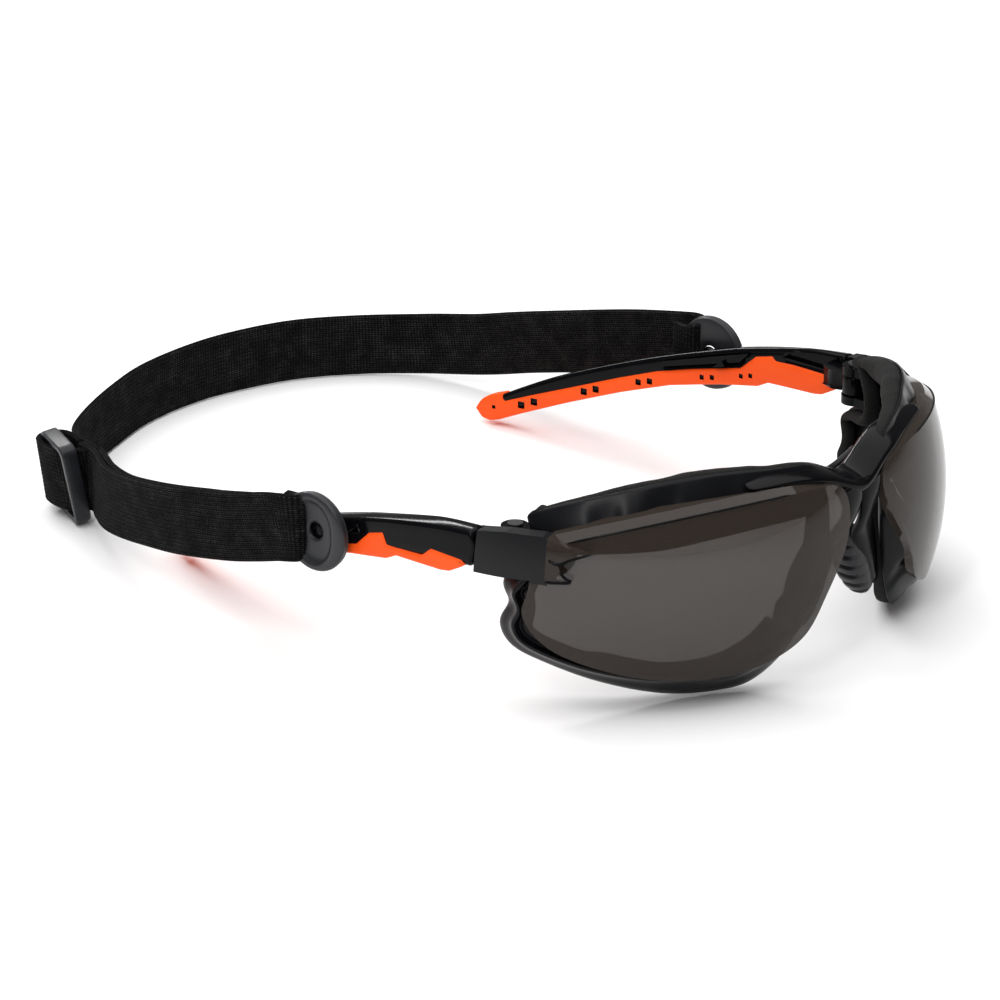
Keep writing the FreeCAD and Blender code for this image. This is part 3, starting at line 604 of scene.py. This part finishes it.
def strap_loop(side_name, side, material):
    """Webbing that turns in at the disc and back along the temple side."""
    low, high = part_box(side_name + "strap_disc")
    height = (low.z + high.z) / 2 / MM
    route = [(side * x, y, height) for x, y in LOOP_ROUTE]
    return webbing(side_name + "strap_loop_turn", route, material, gathered)


def flat_curve(name, height, edge, resolution):
    """A curve that is filled and raised to a height with rounded edges, in mm."""
    curve = bpy.data.curves.new(name, "CURVE")
    curve.dimensions = "2D"
    curve.fill_mode = "BOTH"
    curve.extrude = (height / 2 - edge) * MM
    curve.bevel_depth = edge * MM
    curve.offset = -edge * MM
    curve.bevel_resolution = resolution
    return curve


def closed_line(curve, points):
    spline = curve.splines.new("POLY")
    spline.points.add(len(points) - 1)
    for point, (x, y) in zip(spline.points, points):
        point.co = (x, y, 0, 1)
    spline.use_cyclic_u = True


def buckle_outline(curve, half_long, half_high, corner, shift=0.0):
    points = []
    for quarter in range(4):
        x, y = half_long - corner, half_high - corner
        if quarter in (1, 2):
            x = -x
        if quarter in (2, 3):
            y = -y
        for k in range(7):
            a = math.pi / 2 * (quarter + k / 6)
            points.append(((x + corner * math.cos(a) + shift) * MM, (y + corner * math.sin(a)) * MM))
    closed_line(curve, points)


def strap_buckle(material):
    """A slide adjuster: a rounded frame with a middle bar, leaning out at the top."""
    curve = flat_curve("adjuster", BUCKLE_DEPTH, 0.5, 3)
    half_long, half_high = BUCKLE_LENGTH / 2, BUCKLE_HEIGHT / 2
    buckle_outline(curve, half_long, half_high, 2.6)
    window = (BUCKLE_LENGTH - 3 * BUCKLE_BAR) / 4
    for side in (-1, 1):
        shift = side * (window + BUCKLE_BAR / 2)
        buckle_outline(curve, window, half_high - BUCKLE_BAR * 0.8, 0.9, shift)
    piece = solid_from_curve("adjuster_frame", curve, material)
    lean = math.radians(BUCKLE_LEAN)
    up = Vector((0, 0, 1)) * math.cos(lean) + BUCKLE_OUT * math.sin(lean)
    out = BUCKLE_OUT * math.cos(lean) - Vector((0, 0, 1)) * math.sin(lean)
    turn = Matrix((BUCKLE_ALONG, up, out)).transposed().to_4x4()
    place = Matrix.Translation(row(BUCKLE_MIDDLE + BUCKLE_OUT * BUCKLE_OUT_SHIFT))
    piece.data.transform(place @ turn)
    face_out(piece)
    return piece


def strap_tail(material):
    route = [BUCKLE_MIDDLE + BUCKLE_ALONG * a + BUCKLE_OUT * o for a, o in TAIL_ROUTE]
    return webbing("strap_tail_turn", route, material, lean=BUCKLE_OUT * 0.12)


def azimuth_of(flat):
    """Azimuth in degrees of an (across, up) point at the front radius."""
    return math.degrees(flat.x / SEAL_FRONT_RADIUS)


def toward_ends(azimuth):
    """How far a place on the seal is towards the temple and towards the nose."""
    return max(0.0, (azimuth - 30.0) / 50.0), max(0.0, (32.0 - azimuth) / 32.0)


def seal_back_radius(azimuth):
    """Level radius of the seal's back edge, which gets shallower towards the temple and the nose."""
    outward, toward_nose = toward_ends(azimuth)
    return SEAL_BACK_RADIUS + 4.6 * outward ** 2 + 4.8 * toward_nose ** 1.5


def moved_in(outline, distances):
    """An outline of (across, up) points in mm, moved inwards."""
    count, moved = len(outline), []
    for i, point in enumerate(outline):
        ahead = (outline[(i + 2) % count] - outline[i - 2]).normalized()
        moved.append(point + Vector((ahead.y, -ahead.x)) * distances[i])
    return moved


def seal_outlines(count=150):
    """Dense outlines of the seal's front and back, as (across, up) at the front radius, and widths."""
    dense, _ = smooth_path(SEAL_STATIONS, count, closed=True)
    scale = math.radians(SEAL_FRONT_RADIUS)
    front = [Vector((p[0] * scale, p[1])) for p in dense]
    back = [Vector((p[2] * scale, p[3])) for p in dense]
    return front, back, [p[4] for p in dense]


def seal_point(side, flat, radius, on_sphere):
    return row(sphere_point(side, azimuth_of(flat), radius, flat.y, on_sphere))


def level_of_front(flat):
    return math.sqrt(SEAL_FRONT_RADIUS ** 2 - (flat.y - LENS_CENTRE.z) ** 2)


def rim_step(flat):
    """How far the outer rim steps out: along the bottom, and in a short strip beside the nose."""
    azimuth = azimuth_of(flat)
    bottom = smooth_step(11.0, 11.8, azimuth) * smooth_step(40.0, 26.0, azimuth) * (flat.y < 22.0)
    strip = smooth_step(19.4, 20.2, flat.y) * smooth_step(34.0, 33.0, flat.y) * (azimuth < 14.0)
    return bottom + 0.8 * strip


def seal_frame(side_name, side, material):
    """The soft seal: a flange behind the lens and a wall that reaches back to the foam."""
    front, back, widths = seal_outlines()
    rims = [RIM_PROUD * unit((36.0 - a.y) / 6.0) for a in front]
    front = moved_in(front, [-RIM_STEP * rim_step(a) for a in front])
    steps = [rim_step(a) * RIM_STEP for a in front]
    rim_in = moved_in(front, [RIM_WIDTH + step for step in steps])
    groove = moved_in(front, [RIM_WIDTH + 0.7 + step for step in steps])
    lip = moved_in(front, [max(w, RIM_WIDTH + 1.6) + step for w, step in zip(widths, steps)])
    corner = moved_in(front, [max(WALL_THICKNESS, 0.7 * w) + step for w, step in zip(widths, steps)])
    inner = moved_in(back, [WALL_THICKNESS] * len(back))
    rings = []
    for i, (a, f) in enumerate(zip(front, back)):
        back_azimuth = azimuth_of(f)
        rim = seal_back_radius(back_azimuth)
        proud = SEAL_FRONT_RADIUS + rims[i]
        sunk = SEAL_FRONT_RADIUS - 0.9 * rims[i] / RIM_PROUD
        around = [
            (a, proud - 0.35), (a.lerp(rim_in[i], 0.25), proud), (a.lerp(rim_in[i], 0.85), proud),
            (rim_in[i], proud - 0.3), (rim_in[i], sunk), (groove[i], sunk), (groove[i], SEAL_FRONT_RADIUS),
            (lip[i], SEAL_FRONT_RADIUS - 0.2), (lip[i], SEAL_FRONT_RADIUS - FLANGE_THICKNESS),
            (corner[i], SEAL_FRONT_RADIUS - FLANGE_THICKNESS - 0.4),
        ]
        ring = [seal_point(side, flat, radius, True) for flat, radius in around]
        for flat, radius in ((inner[i], rim + 0.4), (inner[i], rim), (f, rim)):
            ring.append(seal_point(side, flat, radius, False))
        start = level_of_front(a)
        vent = 0.0
        if f.y > 40.0:
            vent = sum(math.exp(-((back_azimuth - v) / 3.6) ** 4) for v in VENT_AZIMUTHS)
        for t in (0.12, 0.35, 0.6, 0.85):
            flat = f.lerp(a, t)
            ahead = (back[(i + 2) % len(back)] - back[i - 2]).normalized()
            dent = 1.9 * vent * max(0.0, math.sin(math.pi * (t - 0.2) / 0.8))
            swell = 0.9 * math.sin(math.pi * t) - dent
            flat = flat - Vector((ahead.y, -ahead.x)) * swell
            ring.append(seal_point(side, flat, rim + (start - rim) * t, False))
        rings.append(ring)
    piece = wrapped_piece(side_name + "seal_frame", rings, material)
    face_out(soften(piece))
    return piece


def seal_foam_ring(side_name, side, material):
    """Foam on the seal's face side: soft edges, uneven by a few tenths of a millimetre."""
    _, back, _ = seal_outlines(170)
    widths = []
    for f in back:
        azimuth = azimuth_of(f)
        width = FOAM_WIDTH + (2.3 - FOAM_WIDTH) * smooth_step(58.0, 74.0, azimuth)
        widths.append(width + (2.4 - width) * unit((32.0 - azimuth) / 20.0))
    outer = moved_in(back, [FOAM_INSET] * len(back))
    inner = moved_in(back, [FOAM_INSET + w for w in widths])
    rings = []
    for o, n in zip(outer, inner):
        azimuth = azimuth_of(o)
        rim = seal_back_radius(azimuth)
        outward, toward_nose = toward_ends(azimuth)
        depth = FOAM_DEPTH - 1.4 * outward ** 2 - 2.0 * toward_nose
        ring = []
        for across, deep in FOAM_SECTION:
            point = seal_point(side, o.lerp(n, across), rim - depth * deep, False)
            push = noise.noise(point * 160.0) * 0.32 + noise.noise(point * 480.0) * 0.12
            middle = seal_point(side, o.lerp(n, 0.5), rim - depth * 0.4, False)
            ring.append(point + (point - middle).normalized() * push * MM)
        rings.append(ring)
    piece = wrapped_piece(side_name + "seal_foam", rings, material)
    face_out(soften(piece))
    return piece


def arm_inner_x(y):
    return ARM_INNER_X - ARM_CURVE_IN * max(0.0, (y - 60.0) / 100.0) ** 2.2


def arm_thickness(y):
    along = (y - ARM_FRONT_Y) / (ARM_BACK_Y - ARM_FRONT_Y)
    return ARM_FRONT_THICKNESS + (ARM_TIP_THICKNESS - ARM_FRONT_THICKNESS) * along


def height_on(line, y):
    """Height at y on a line of (y, z) points that runs back along the temple."""
    y = min(max(y, line[0][0]), line[-1][0])
    for (y0, z0), (y1, z1) in zip(line, line[1:]):
        if y <= y1:
            return z0 + (z1 - z0) * (y - y0) / max(y1 - y0, 1e-6)
    return line[-1][1]


def side_strip(name, side, edges, proud, corner, material):
    """A strip along the temple; edges are the (y, z) lines of inner top, outer top and bottom."""
    inner_top, outer_top, bottom = edges
    start, end = bottom[0][0], bottom[-1][0]
    count = int((end - start) / 0.4)
    points = []
    for i in range(count + 1):
        y = start + (end - start) * i / count
        near = min(i, count - i) * 0.4
        close = 1.0 - max(0.0, 1.0 - near / 1.2) ** 2 * 0.55
        low, high_in, high_out = height_on(bottom, y), height_on(inner_top, y), height_on(outer_top, y)
        middle = (low + (high_in + high_out) / 2) / 2
        inner, outer = arm_inner_x(y) - proud, arm_inner_x(y) + arm_thickness(y) + proud
        r = min(corner, (high_in - low) * 0.35, (high_out - low) * 0.35)
        section = [
            (inner, low + r), (inner + 0.3 * r, low + 0.3 * r), (inner + r, low),
            (outer - r, low), (outer - 0.3 * r, low + 0.3 * r), (outer, low + r),
            (outer, low + 0.35 * (high_out - low)), (outer, low + 0.7 * (high_out - low)),
            (outer, high_out - r), (outer - 0.3 * r, high_out - 0.3 * r),
            (outer - r, high_out + 0.1 * r),
            (inner + r, high_in), (inner + 0.3 * r, high_in - 0.3 * r), (inner, high_in - r),
            (inner, low + 0.7 * (high_in - low)), (inner, low + 0.35 * (high_in - low)),
        ]
        points += [row((side * x, y, middle + (z - middle) * close)) for x, z in section]
    return face_out(make_piece(name, points, tube_faces(count + 1, 16), material))


def prism(side, outline, low_depth, high_depth):
    """A cutter through the temple's side between two depths from its inner face."""
    points = []
    for depth in (low_depth, high_depth):
        points += [row((side * (arm_inner_x(y) + depth), y, z)) for y, z in outline]
    return points, tube_faces(2, len(outline))


def cut(piece, cutters, material):
    """Cuts closed shapes out of a piece."""
    points, faces = [], []
    for more_points, more_faces in cutters:
        faces += [tuple(k + len(points) for k in face) for face in more_faces]
        points += more_points
    tool = face_out(make_piece("cutter", points, faces, material, smooth=False))
    modifier = piece.modifiers.new("cut", "BOOLEAN")
    modifier.object = tool
    modifier.operation = "DIFFERENCE"
    modifier.solver = "EXACT"
    keep_modified(piece)
    bpy.data.objects.remove(tool)
    return piece


def bowed(piece):
    """Bows the rear of the right temple in and up, so that the strap hides its tip."""
    for vertex in piece.data.vertices:
        y = vertex.co.y / MM - ROW_SHIFT.y
        along = max(0.0, (y - BOW_START) / (ARM_BACK_Y - BOW_START))
        vertex.co += RIGHT_BOW * MM * along ** 2


def temple_arm(side_name, side, material):
    edges = [smooth_path(line, 180)[0] for line in (ARM_TOP_INNER, ARM_TOP_OUTER)] + [ARM_BOTTOM]
    arm = side_strip(side_name + "arm_shell", side, edges, 0.0, 0.9, material)
    cutters = [prism(side, REAR_RECESS, -1.0, 1.3), prism(side, FRONT_RECESS, -1.0, 1.3),
               prism(side, ARM_WINDOW, -2.0, 8.0)]
    cut(arm, cutters, material)
    return arm


def temple_grip(side_name, side, material):
    edges = [GRIP_TOP_INNER, GRIP_TOP_OUTER, GRIP_BOTTOM]
    grip = side_strip(side_name + "grip_inlay", side, edges, GRIP_PROUD, 0.6, material)
    cutters = []
    for y, z, half in GRIP_POCKETS:
        square = [(y + half * a, z + half * b) for a, b in SQUARE]
        cutters.append(prism(side, square, -2.0, 0.6))
    cut(grip, cutters, material)
    return grip


def hinge_barrel(side_name, side, material):
    """The temple's knuckle round the hinge pin, with its neck and heel."""
    low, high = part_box(side_name + "hinge_pin")
    pin_x, pin_y = abs(low.x + high.x) / 2, (low.y + high.y) / 2
    curve = flat_curve("barrel", BARREL_HEIGHT, 0.35, 2)
    outline = [row((x, y, 0)).xy for x, y in ARM_NECK]
    radius = BARREL_RADIUS * MM
    for k in range(19):
        a = math.radians(40 + 260 * k / 18)
        outline.append((pin_x + radius * math.cos(a), pin_y + radius * math.sin(a)))
    closed_line(curve, [(side * x, y) for x, y in outline])
    piece = solid_from_curve(side_name + "hinge_barrel", curve, material)
    piece.data.transform(Matrix.Translation((0, 0, BARREL_MIDDLE * MM)))
    face_out(piece)
    return piece


def solid_from_curve(name, curve, material):
    holder = bpy.data.objects.new(name, curve)
    bpy.context.scene.collection.objects.link(holder)
    mesh = evaluated_mesh(holder)
    bpy.data.objects.remove(holder)
    mesh.materials.clear()
    mesh.materials.append(material)
    for polygon in mesh.polygons:
        polygon.use_smooth = True
        polygon.material_index = 0
    piece = bpy.data.objects.new(name, mesh)
    bpy.context.scene.collection.objects.link(piece)
    return piece


def strap_disc(side_name, side, material):
    """The dished disc with a raised rim, turned round the stud, with a step behind the rim."""
    low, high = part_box(side_name + "strap_disc")
    middle = (low + high) / 2
    base = min(abs(low.x), abs(high.x))
    rings = []
    for radius, height in DISC_PROFILE:
        squeeze = DISH_SQUEEZE if 3.0 < radius < 8.0 and height > 1.2 else 0.0
        x = side * (base + height * MM)
        ring = []
        for c, d in circle(72):
            r = radius * (1 - squeeze * c ** 2)
            ring.append(Vector((x, middle.y + r * c * MM, middle.z + r * d * MM)))
        rings.append(ring)
    piece = wrapped_piece(side_name + "disc_rim", rings, material)
    face_out(soften(piece))
    return piece


def stud_pin(side_name, side, material):
    """The stud that holds the disc; its end lies deep in the disc's bore."""
    low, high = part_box(side_name + "disc_stud")
    disc_low, disc_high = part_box(side_name + "strap_disc")
    tail = min(abs(low.x), abs(high.x)) / MM
    face = min(abs(disc_low.x), abs(disc_high.x)) / MM
    middle = (low + high) / 2
    profile = [(0.02, tail), (1.6, tail), (1.85, tail + 0.2), (1.85, tail + 0.45), (1.2, tail + 0.6),
               (1.2, face - 0.5), (1.84, face - 0.3), (1.84, face + 0.3), (1.7, face + 0.5),
               (0.02, face + 0.5)]
    points, around = [], circle(32)
    for radius, x in profile:
        spot = Vector((side * x * MM, middle.y, middle.z))
        points += [spot + Vector((0, c, d)) * radius * MM for c, d in around]
    piece = make_piece(side_name + "stud_pin", points, tube_faces(len(profile), len(around)), material)
    return face_out(piece)


def seal_link(material):
    """The soft strip behind the bridge that joins the two seals."""
    low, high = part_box("gasket_bridge")
    middle, half = (low + high) / 2, (high - low) / 2
    count, around, points = 31, circle(20), []
    for i in range(count):
        t = 2 * i / (count - 1) - 1
        thin = 1.0 - 0.18 * math.cos(math.pi * t)
        lift = half.z * LINK_ARCH * (t * t - 0.5)
        for c, d in around:
            y = middle.y + math.copysign(abs(c) ** 0.7, c) * half.y * 0.9
            z = middle.z + lift + math.copysign(abs(d) ** 0.7, d) * half.z * 0.72 * thin
            points.append(Vector((middle.x + t * half.x, y, z)))
    piece = make_piece("seal_link", points, tube_faces(count, len(around)), material)
    return face_out(piece)


def crease_point(side, azimuth, radius, height):
    """A point of a circle round the crease's axis, at a height along it from the lens centre."""
    turn = Vector((0, 0, 1)).rotation_difference(CREASE_NORMAL)
    a = math.radians(azimuth)
    spot = LENS_CENTRE + turn @ Vector((radius * math.sin(a), -radius * math.cos(a), height))
    return row((side * spot.x, spot.y, spot.z))


def fine_line(name, points, thickness, material):
    """A thin round bead along points in metres, tapered at both ends."""
    around, rings = circle(8), []
    for i, point in enumerate(points):
        ahead = (points[min(i + 1, len(points) - 1)] - points[max(i - 1, 0)]).normalized()
        across = ahead.cross(Vector((0, 0, 1))).normalized()
        up = across.cross(ahead)
        near_end = min(i, len(points) - 1 - i) / 3
        radius = thickness / 2 * MM * min(1.0, 0.25 + near_end)
        rings += [point + (across * c + up * d) * radius for c, d in around]
    piece = make_piece(name, rings, tube_faces(len(points), len(around)), material)
    return face_out(piece)


def painted_edge_shade_beads(side_name, side, material):
    """Painted shade: opaque black beads along the ledge's crease and upper edge and along the lug's two
    tips. They stand for the dark lines that the tinted plastic shows there by internal reflection where it
    is seen end on.
    """
    low = [crease_point(side, 14 + 50 * k / 60, 58.25, CREASE_HEIGHT) for k in range(61)]
    high = [crease_point(side, 18 + 44 * k / 60, 53.2, -0.75) for k in range(61)]
    tips = []
    for outline in (UPPER_TIP, LOWER_TIP):
        line = smooth_path([(a, h, 0) for a, h in outline], 40)[0]
        tips.append([row(sphere_point(side, p.x, 60.2, p.y)) for p in line])
    lines = [("crease_painted_shade", low, 0.5), ("ledge_painted_shade", high, 0.5), ("upper_tip_painted_shade", tips[0], 0.6),
             ("lower_tip_painted_shade", tips[1], 0.7)]
    return [fine_line(side_name + name, points, thick, material) for name, points, thick in lines]


def bridge_saddle(material):
    half = [(x, *(value for corner in corners for value in corner)) for x, corners in BRIDGE_SECTIONS]
    whole = [(-s[0], *s[1:]) for s in reversed(half[1:])] + half
    line, _ = smooth_path(whole, 33)
    points = []
    for station in line:
        values = list(station)
        points += [row((values[0], values[k], values[k + 1])) for k in range(1, len(values), 2)]
    size = len(BRIDGE_SECTIONS[0][1])
    piece = make_piece("bridge_saddle", points, tube_faces(len(line), size), material)
    face_out(soften(piece, 2))
    return piece


def bar_piece(name, stations, side, material, count, relief=None, power=2.6):
    """A bar with rounded sections along stations of (x, y, z, half width, half depth)."""
    line = smooth_path(stations, count)[0]
    around, points = 20, []
    for i, station in enumerate(line):
        before, after = line[max(i - 1, 0)], line[min(i + 1, count - 1)]
        ahead = Vector((after - before)[:3]).normalized()
        wide = (Vector((1, 0, 0)) - ahead * ahead.x).normalized()
        deep = ahead.cross(wide)
        for j in range(around):
            a = 2 * math.pi * j / around
            c, d = math.cos(a), math.sin(a)
            across = math.copysign(abs(c) ** (2 / power), c) * station[3]
            through = math.copysign(abs(d) ** (2 / power), d) * station[4]
            point = Vector(station[:3]) + wide * across + deep * through
            if relief:
                point -= (wide * across + deep * through).normalized() * relief(i / (count - 1), a)
            points.append(row((side * point.x, point.y, point.z)))
    return face_out(make_piece(name, points, tube_faces(count, around), material))


def nose_stem(side_name, side, material):
    piece = bar_piece(side_name + "nose_stem", STEM_STATIONS, side, material, 40)
    return piece


def pad_grooves(along, angle):
    """Depth of the pad's grooves, on the side that lies against the nose."""
    toward_nose = max(0.0, -math.cos(angle - 0.5)) ** 0.5
    if not 0.2 < along < 0.88:
        return 0.0
    wave = math.cos(2 * math.pi * (along - 0.2) / 0.136)
    return 1.1 * toward_nose * max(0.0, wave - 0.1)


def nose_pad(side_name, side, material):
    piece = bar_piece(side_name + "nose_cushion", PAD_STATIONS, side, material, 90, pad_grooves, 2.4)
    return piece


# The room, in metres and watts

FLOOR_HALF, FLOOR_GAP = 3.0, 0.0002
FLOOR_COLOUR = (0.93, 0.93, 0.93, 1.0)
WORLD_STRENGTH = 0.22
# Name, place, point aimed at, size and power
LIGHTS = [
    ("overhead", (0.0, 0.1, 1.6), (0, 0.1, 0), (2.6, 2.6), 46.0),
    ("left_box", (-0.9, -0.35, 0.75), (0, 0, 0.03), (0.12, 0.5), 3.2),
    ("back_box", (0.35, 0.9, 0.65), (0, 0, 0.02), (0.6, 0.1), 4.6),
]


def floor():
    mesh = bpy.data.meshes.new("floor")
    mesh.from_pydata([(x * FLOOR_HALF, y * FLOOR_HALF, 0) for x, y in SQUARE], [], [(0, 1, 2, 3)])
    ground = bpy.data.objects.new("floor", mesh)
    ground.location.z = CAD_BOX[0][2] - FLOOR_GAP
    bpy.context.scene.collection.objects.link(ground)
    material, _, shader = new_material("pale_floor")
    set_inputs(shader, {"Base Color": FLOOR_COLOUR, "Roughness": 0.9, "Specular IOR Level": 0.1})
    mesh.materials.append(material)


def area_light(name, place, aim, size, power):
    data = bpy.data.lights.new(name, "AREA")
    data.shape = "RECTANGLE"
    data.size, data.size_y = size
    data.energy = power
    light = bpy.data.objects.new(name, data)
    light.location = place
    light.rotation_euler = (Vector(aim) - Vector(place)).to_track_quat("-Z", "Y").to_euler()
    bpy.context.scene.collection.objects.link(light)


def lights():
    world = bpy.data.worlds.new("studio")
    world.use_nodes = True
    background = world.node_tree.nodes["Background"]
    set_inputs(background, {"Color": (1.0, 1.0, 1.0, 1.0), "Strength": WORLD_STRENGTH})
    bpy.context.scene.world = world
    for light in LIGHTS:
        area_light(*light)


def camera():
    a, e = math.radians(VIEW_AZIMUTH), math.radians(VIEW_ELEVATION)
    back = Vector((math.sin(a) * math.cos(e), -math.cos(a) * math.cos(e), math.sin(e)))
    data = bpy.data.cameras.new("camera")
    data.lens = FOCAL_LENGTH
    data.sensor_width = 36.0
    data.clip_start = 0.01
    view = bpy.data.objects.new("camera", data)
    view.location = row(VIEW_TARGET) + back * VIEW_DISTANCE
    view.rotation_euler = (-back).to_track_quat("-Z", "Y").to_euler()
    bpy.context.scene.collection.objects.link(view)
    bpy.context.scene.camera = view


def paint_frame(materials):
    """Gives each CAD node the material that its slot names."""
    for subpart in frame["record"]["subparts"]:
        node = frame["nodes"][subpart["node"]]
        node.data.materials.clear()
        node.data.materials.append(materials[subpart["material_slot"]])


def strap(materials):
    fabric = materials["strap_webbing"]
    left, left_length = webbing("strap_left_band", LEFT_BAND_ROUTE, fabric, ripple=0.12)
    right, right_length = webbing("strap_right_band", RIGHT_BAND_ROUTE, fabric, ripple=0.3)
    inner, inner_length = webbing("strap_return_band", RETURN_ROUTE, fabric, tucked_in, ripple=0.3)
    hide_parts("left_strap_end", "left_strap_run", "strap_back")
    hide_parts("right_strap_end", "right_strap_run")
    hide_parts("strap_return_layer")
    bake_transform(left)
    for piece in (right, inner):
        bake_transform(piece)
    for side_name, side in SIDES:
        loop, length = strap_loop(side_name, side, fabric)
        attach(loop, side_name + "disc")
        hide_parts(side_name + "strap_loop")
    tail, length = strap_tail(fabric)
    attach(tail, "buckle")
    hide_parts("strap_tail")
    buckle = strap_buckle(materials["buckle_plastic"])
    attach(buckle, "buckle")
    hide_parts("strap_buckle")


def temples(materials):
    parts = ((temple_arm, "frame_black", "temple_arm", "temple"),
             (hinge_barrel, "frame_black", None, "temple"),
             (temple_grip, "orange_grip", "temple_grip", "temple"),
             (strap_disc, "disc_rubber", "strap_disc", "disc"),
             (stud_pin, "frame_black", "disc_stud", "disc"))
    for side_name, side in SIDES:
        for make, finish, node, body in parts:
            piece = make(side_name, side, materials[finish])
            if body == "temple" and side < 0:
                bowed(piece)
            if node:
                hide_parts(side_name + node)
            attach(piece, side_name + body)


def front(materials):
    parts = ((seal_frame, "gasket_rubber", "gasket_frame"), (seal_foam_ring, "foam", "gasket_foam"),
             (nose_stem, "frame_black", "nose_arm"), (nose_pad, "nose_pad_rubber", "nose_pad"))
    for side_name, side in SIDES:
        for make, finish, node in parts:
            piece = make(side_name, side, materials[finish])
            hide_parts(side_name + node)
            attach(piece, "front")
        # Painted shade: black beads for the dark lines at the lens's crease, ledge edge and lug tips
        for bead in painted_edge_shade_beads(side_name, side, materials["frame_black"]):
            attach(bead, "front")
    for make, finish, node in ((seal_link, "gasket_rubber", "gasket_bridge"),
                               (bridge_saddle, "frame_black", "bridge")):
        piece = make(materials[finish])
        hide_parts(node)
        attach(piece, "front")


def build():
    bpy.context.scene.view_settings.view_transform = "Standard"
    camera()
    lights()
    floor()
    materials = make_materials()
    paint_frame(materials)
    front(materials)
    temples(materials)
    strap(materials)


build()
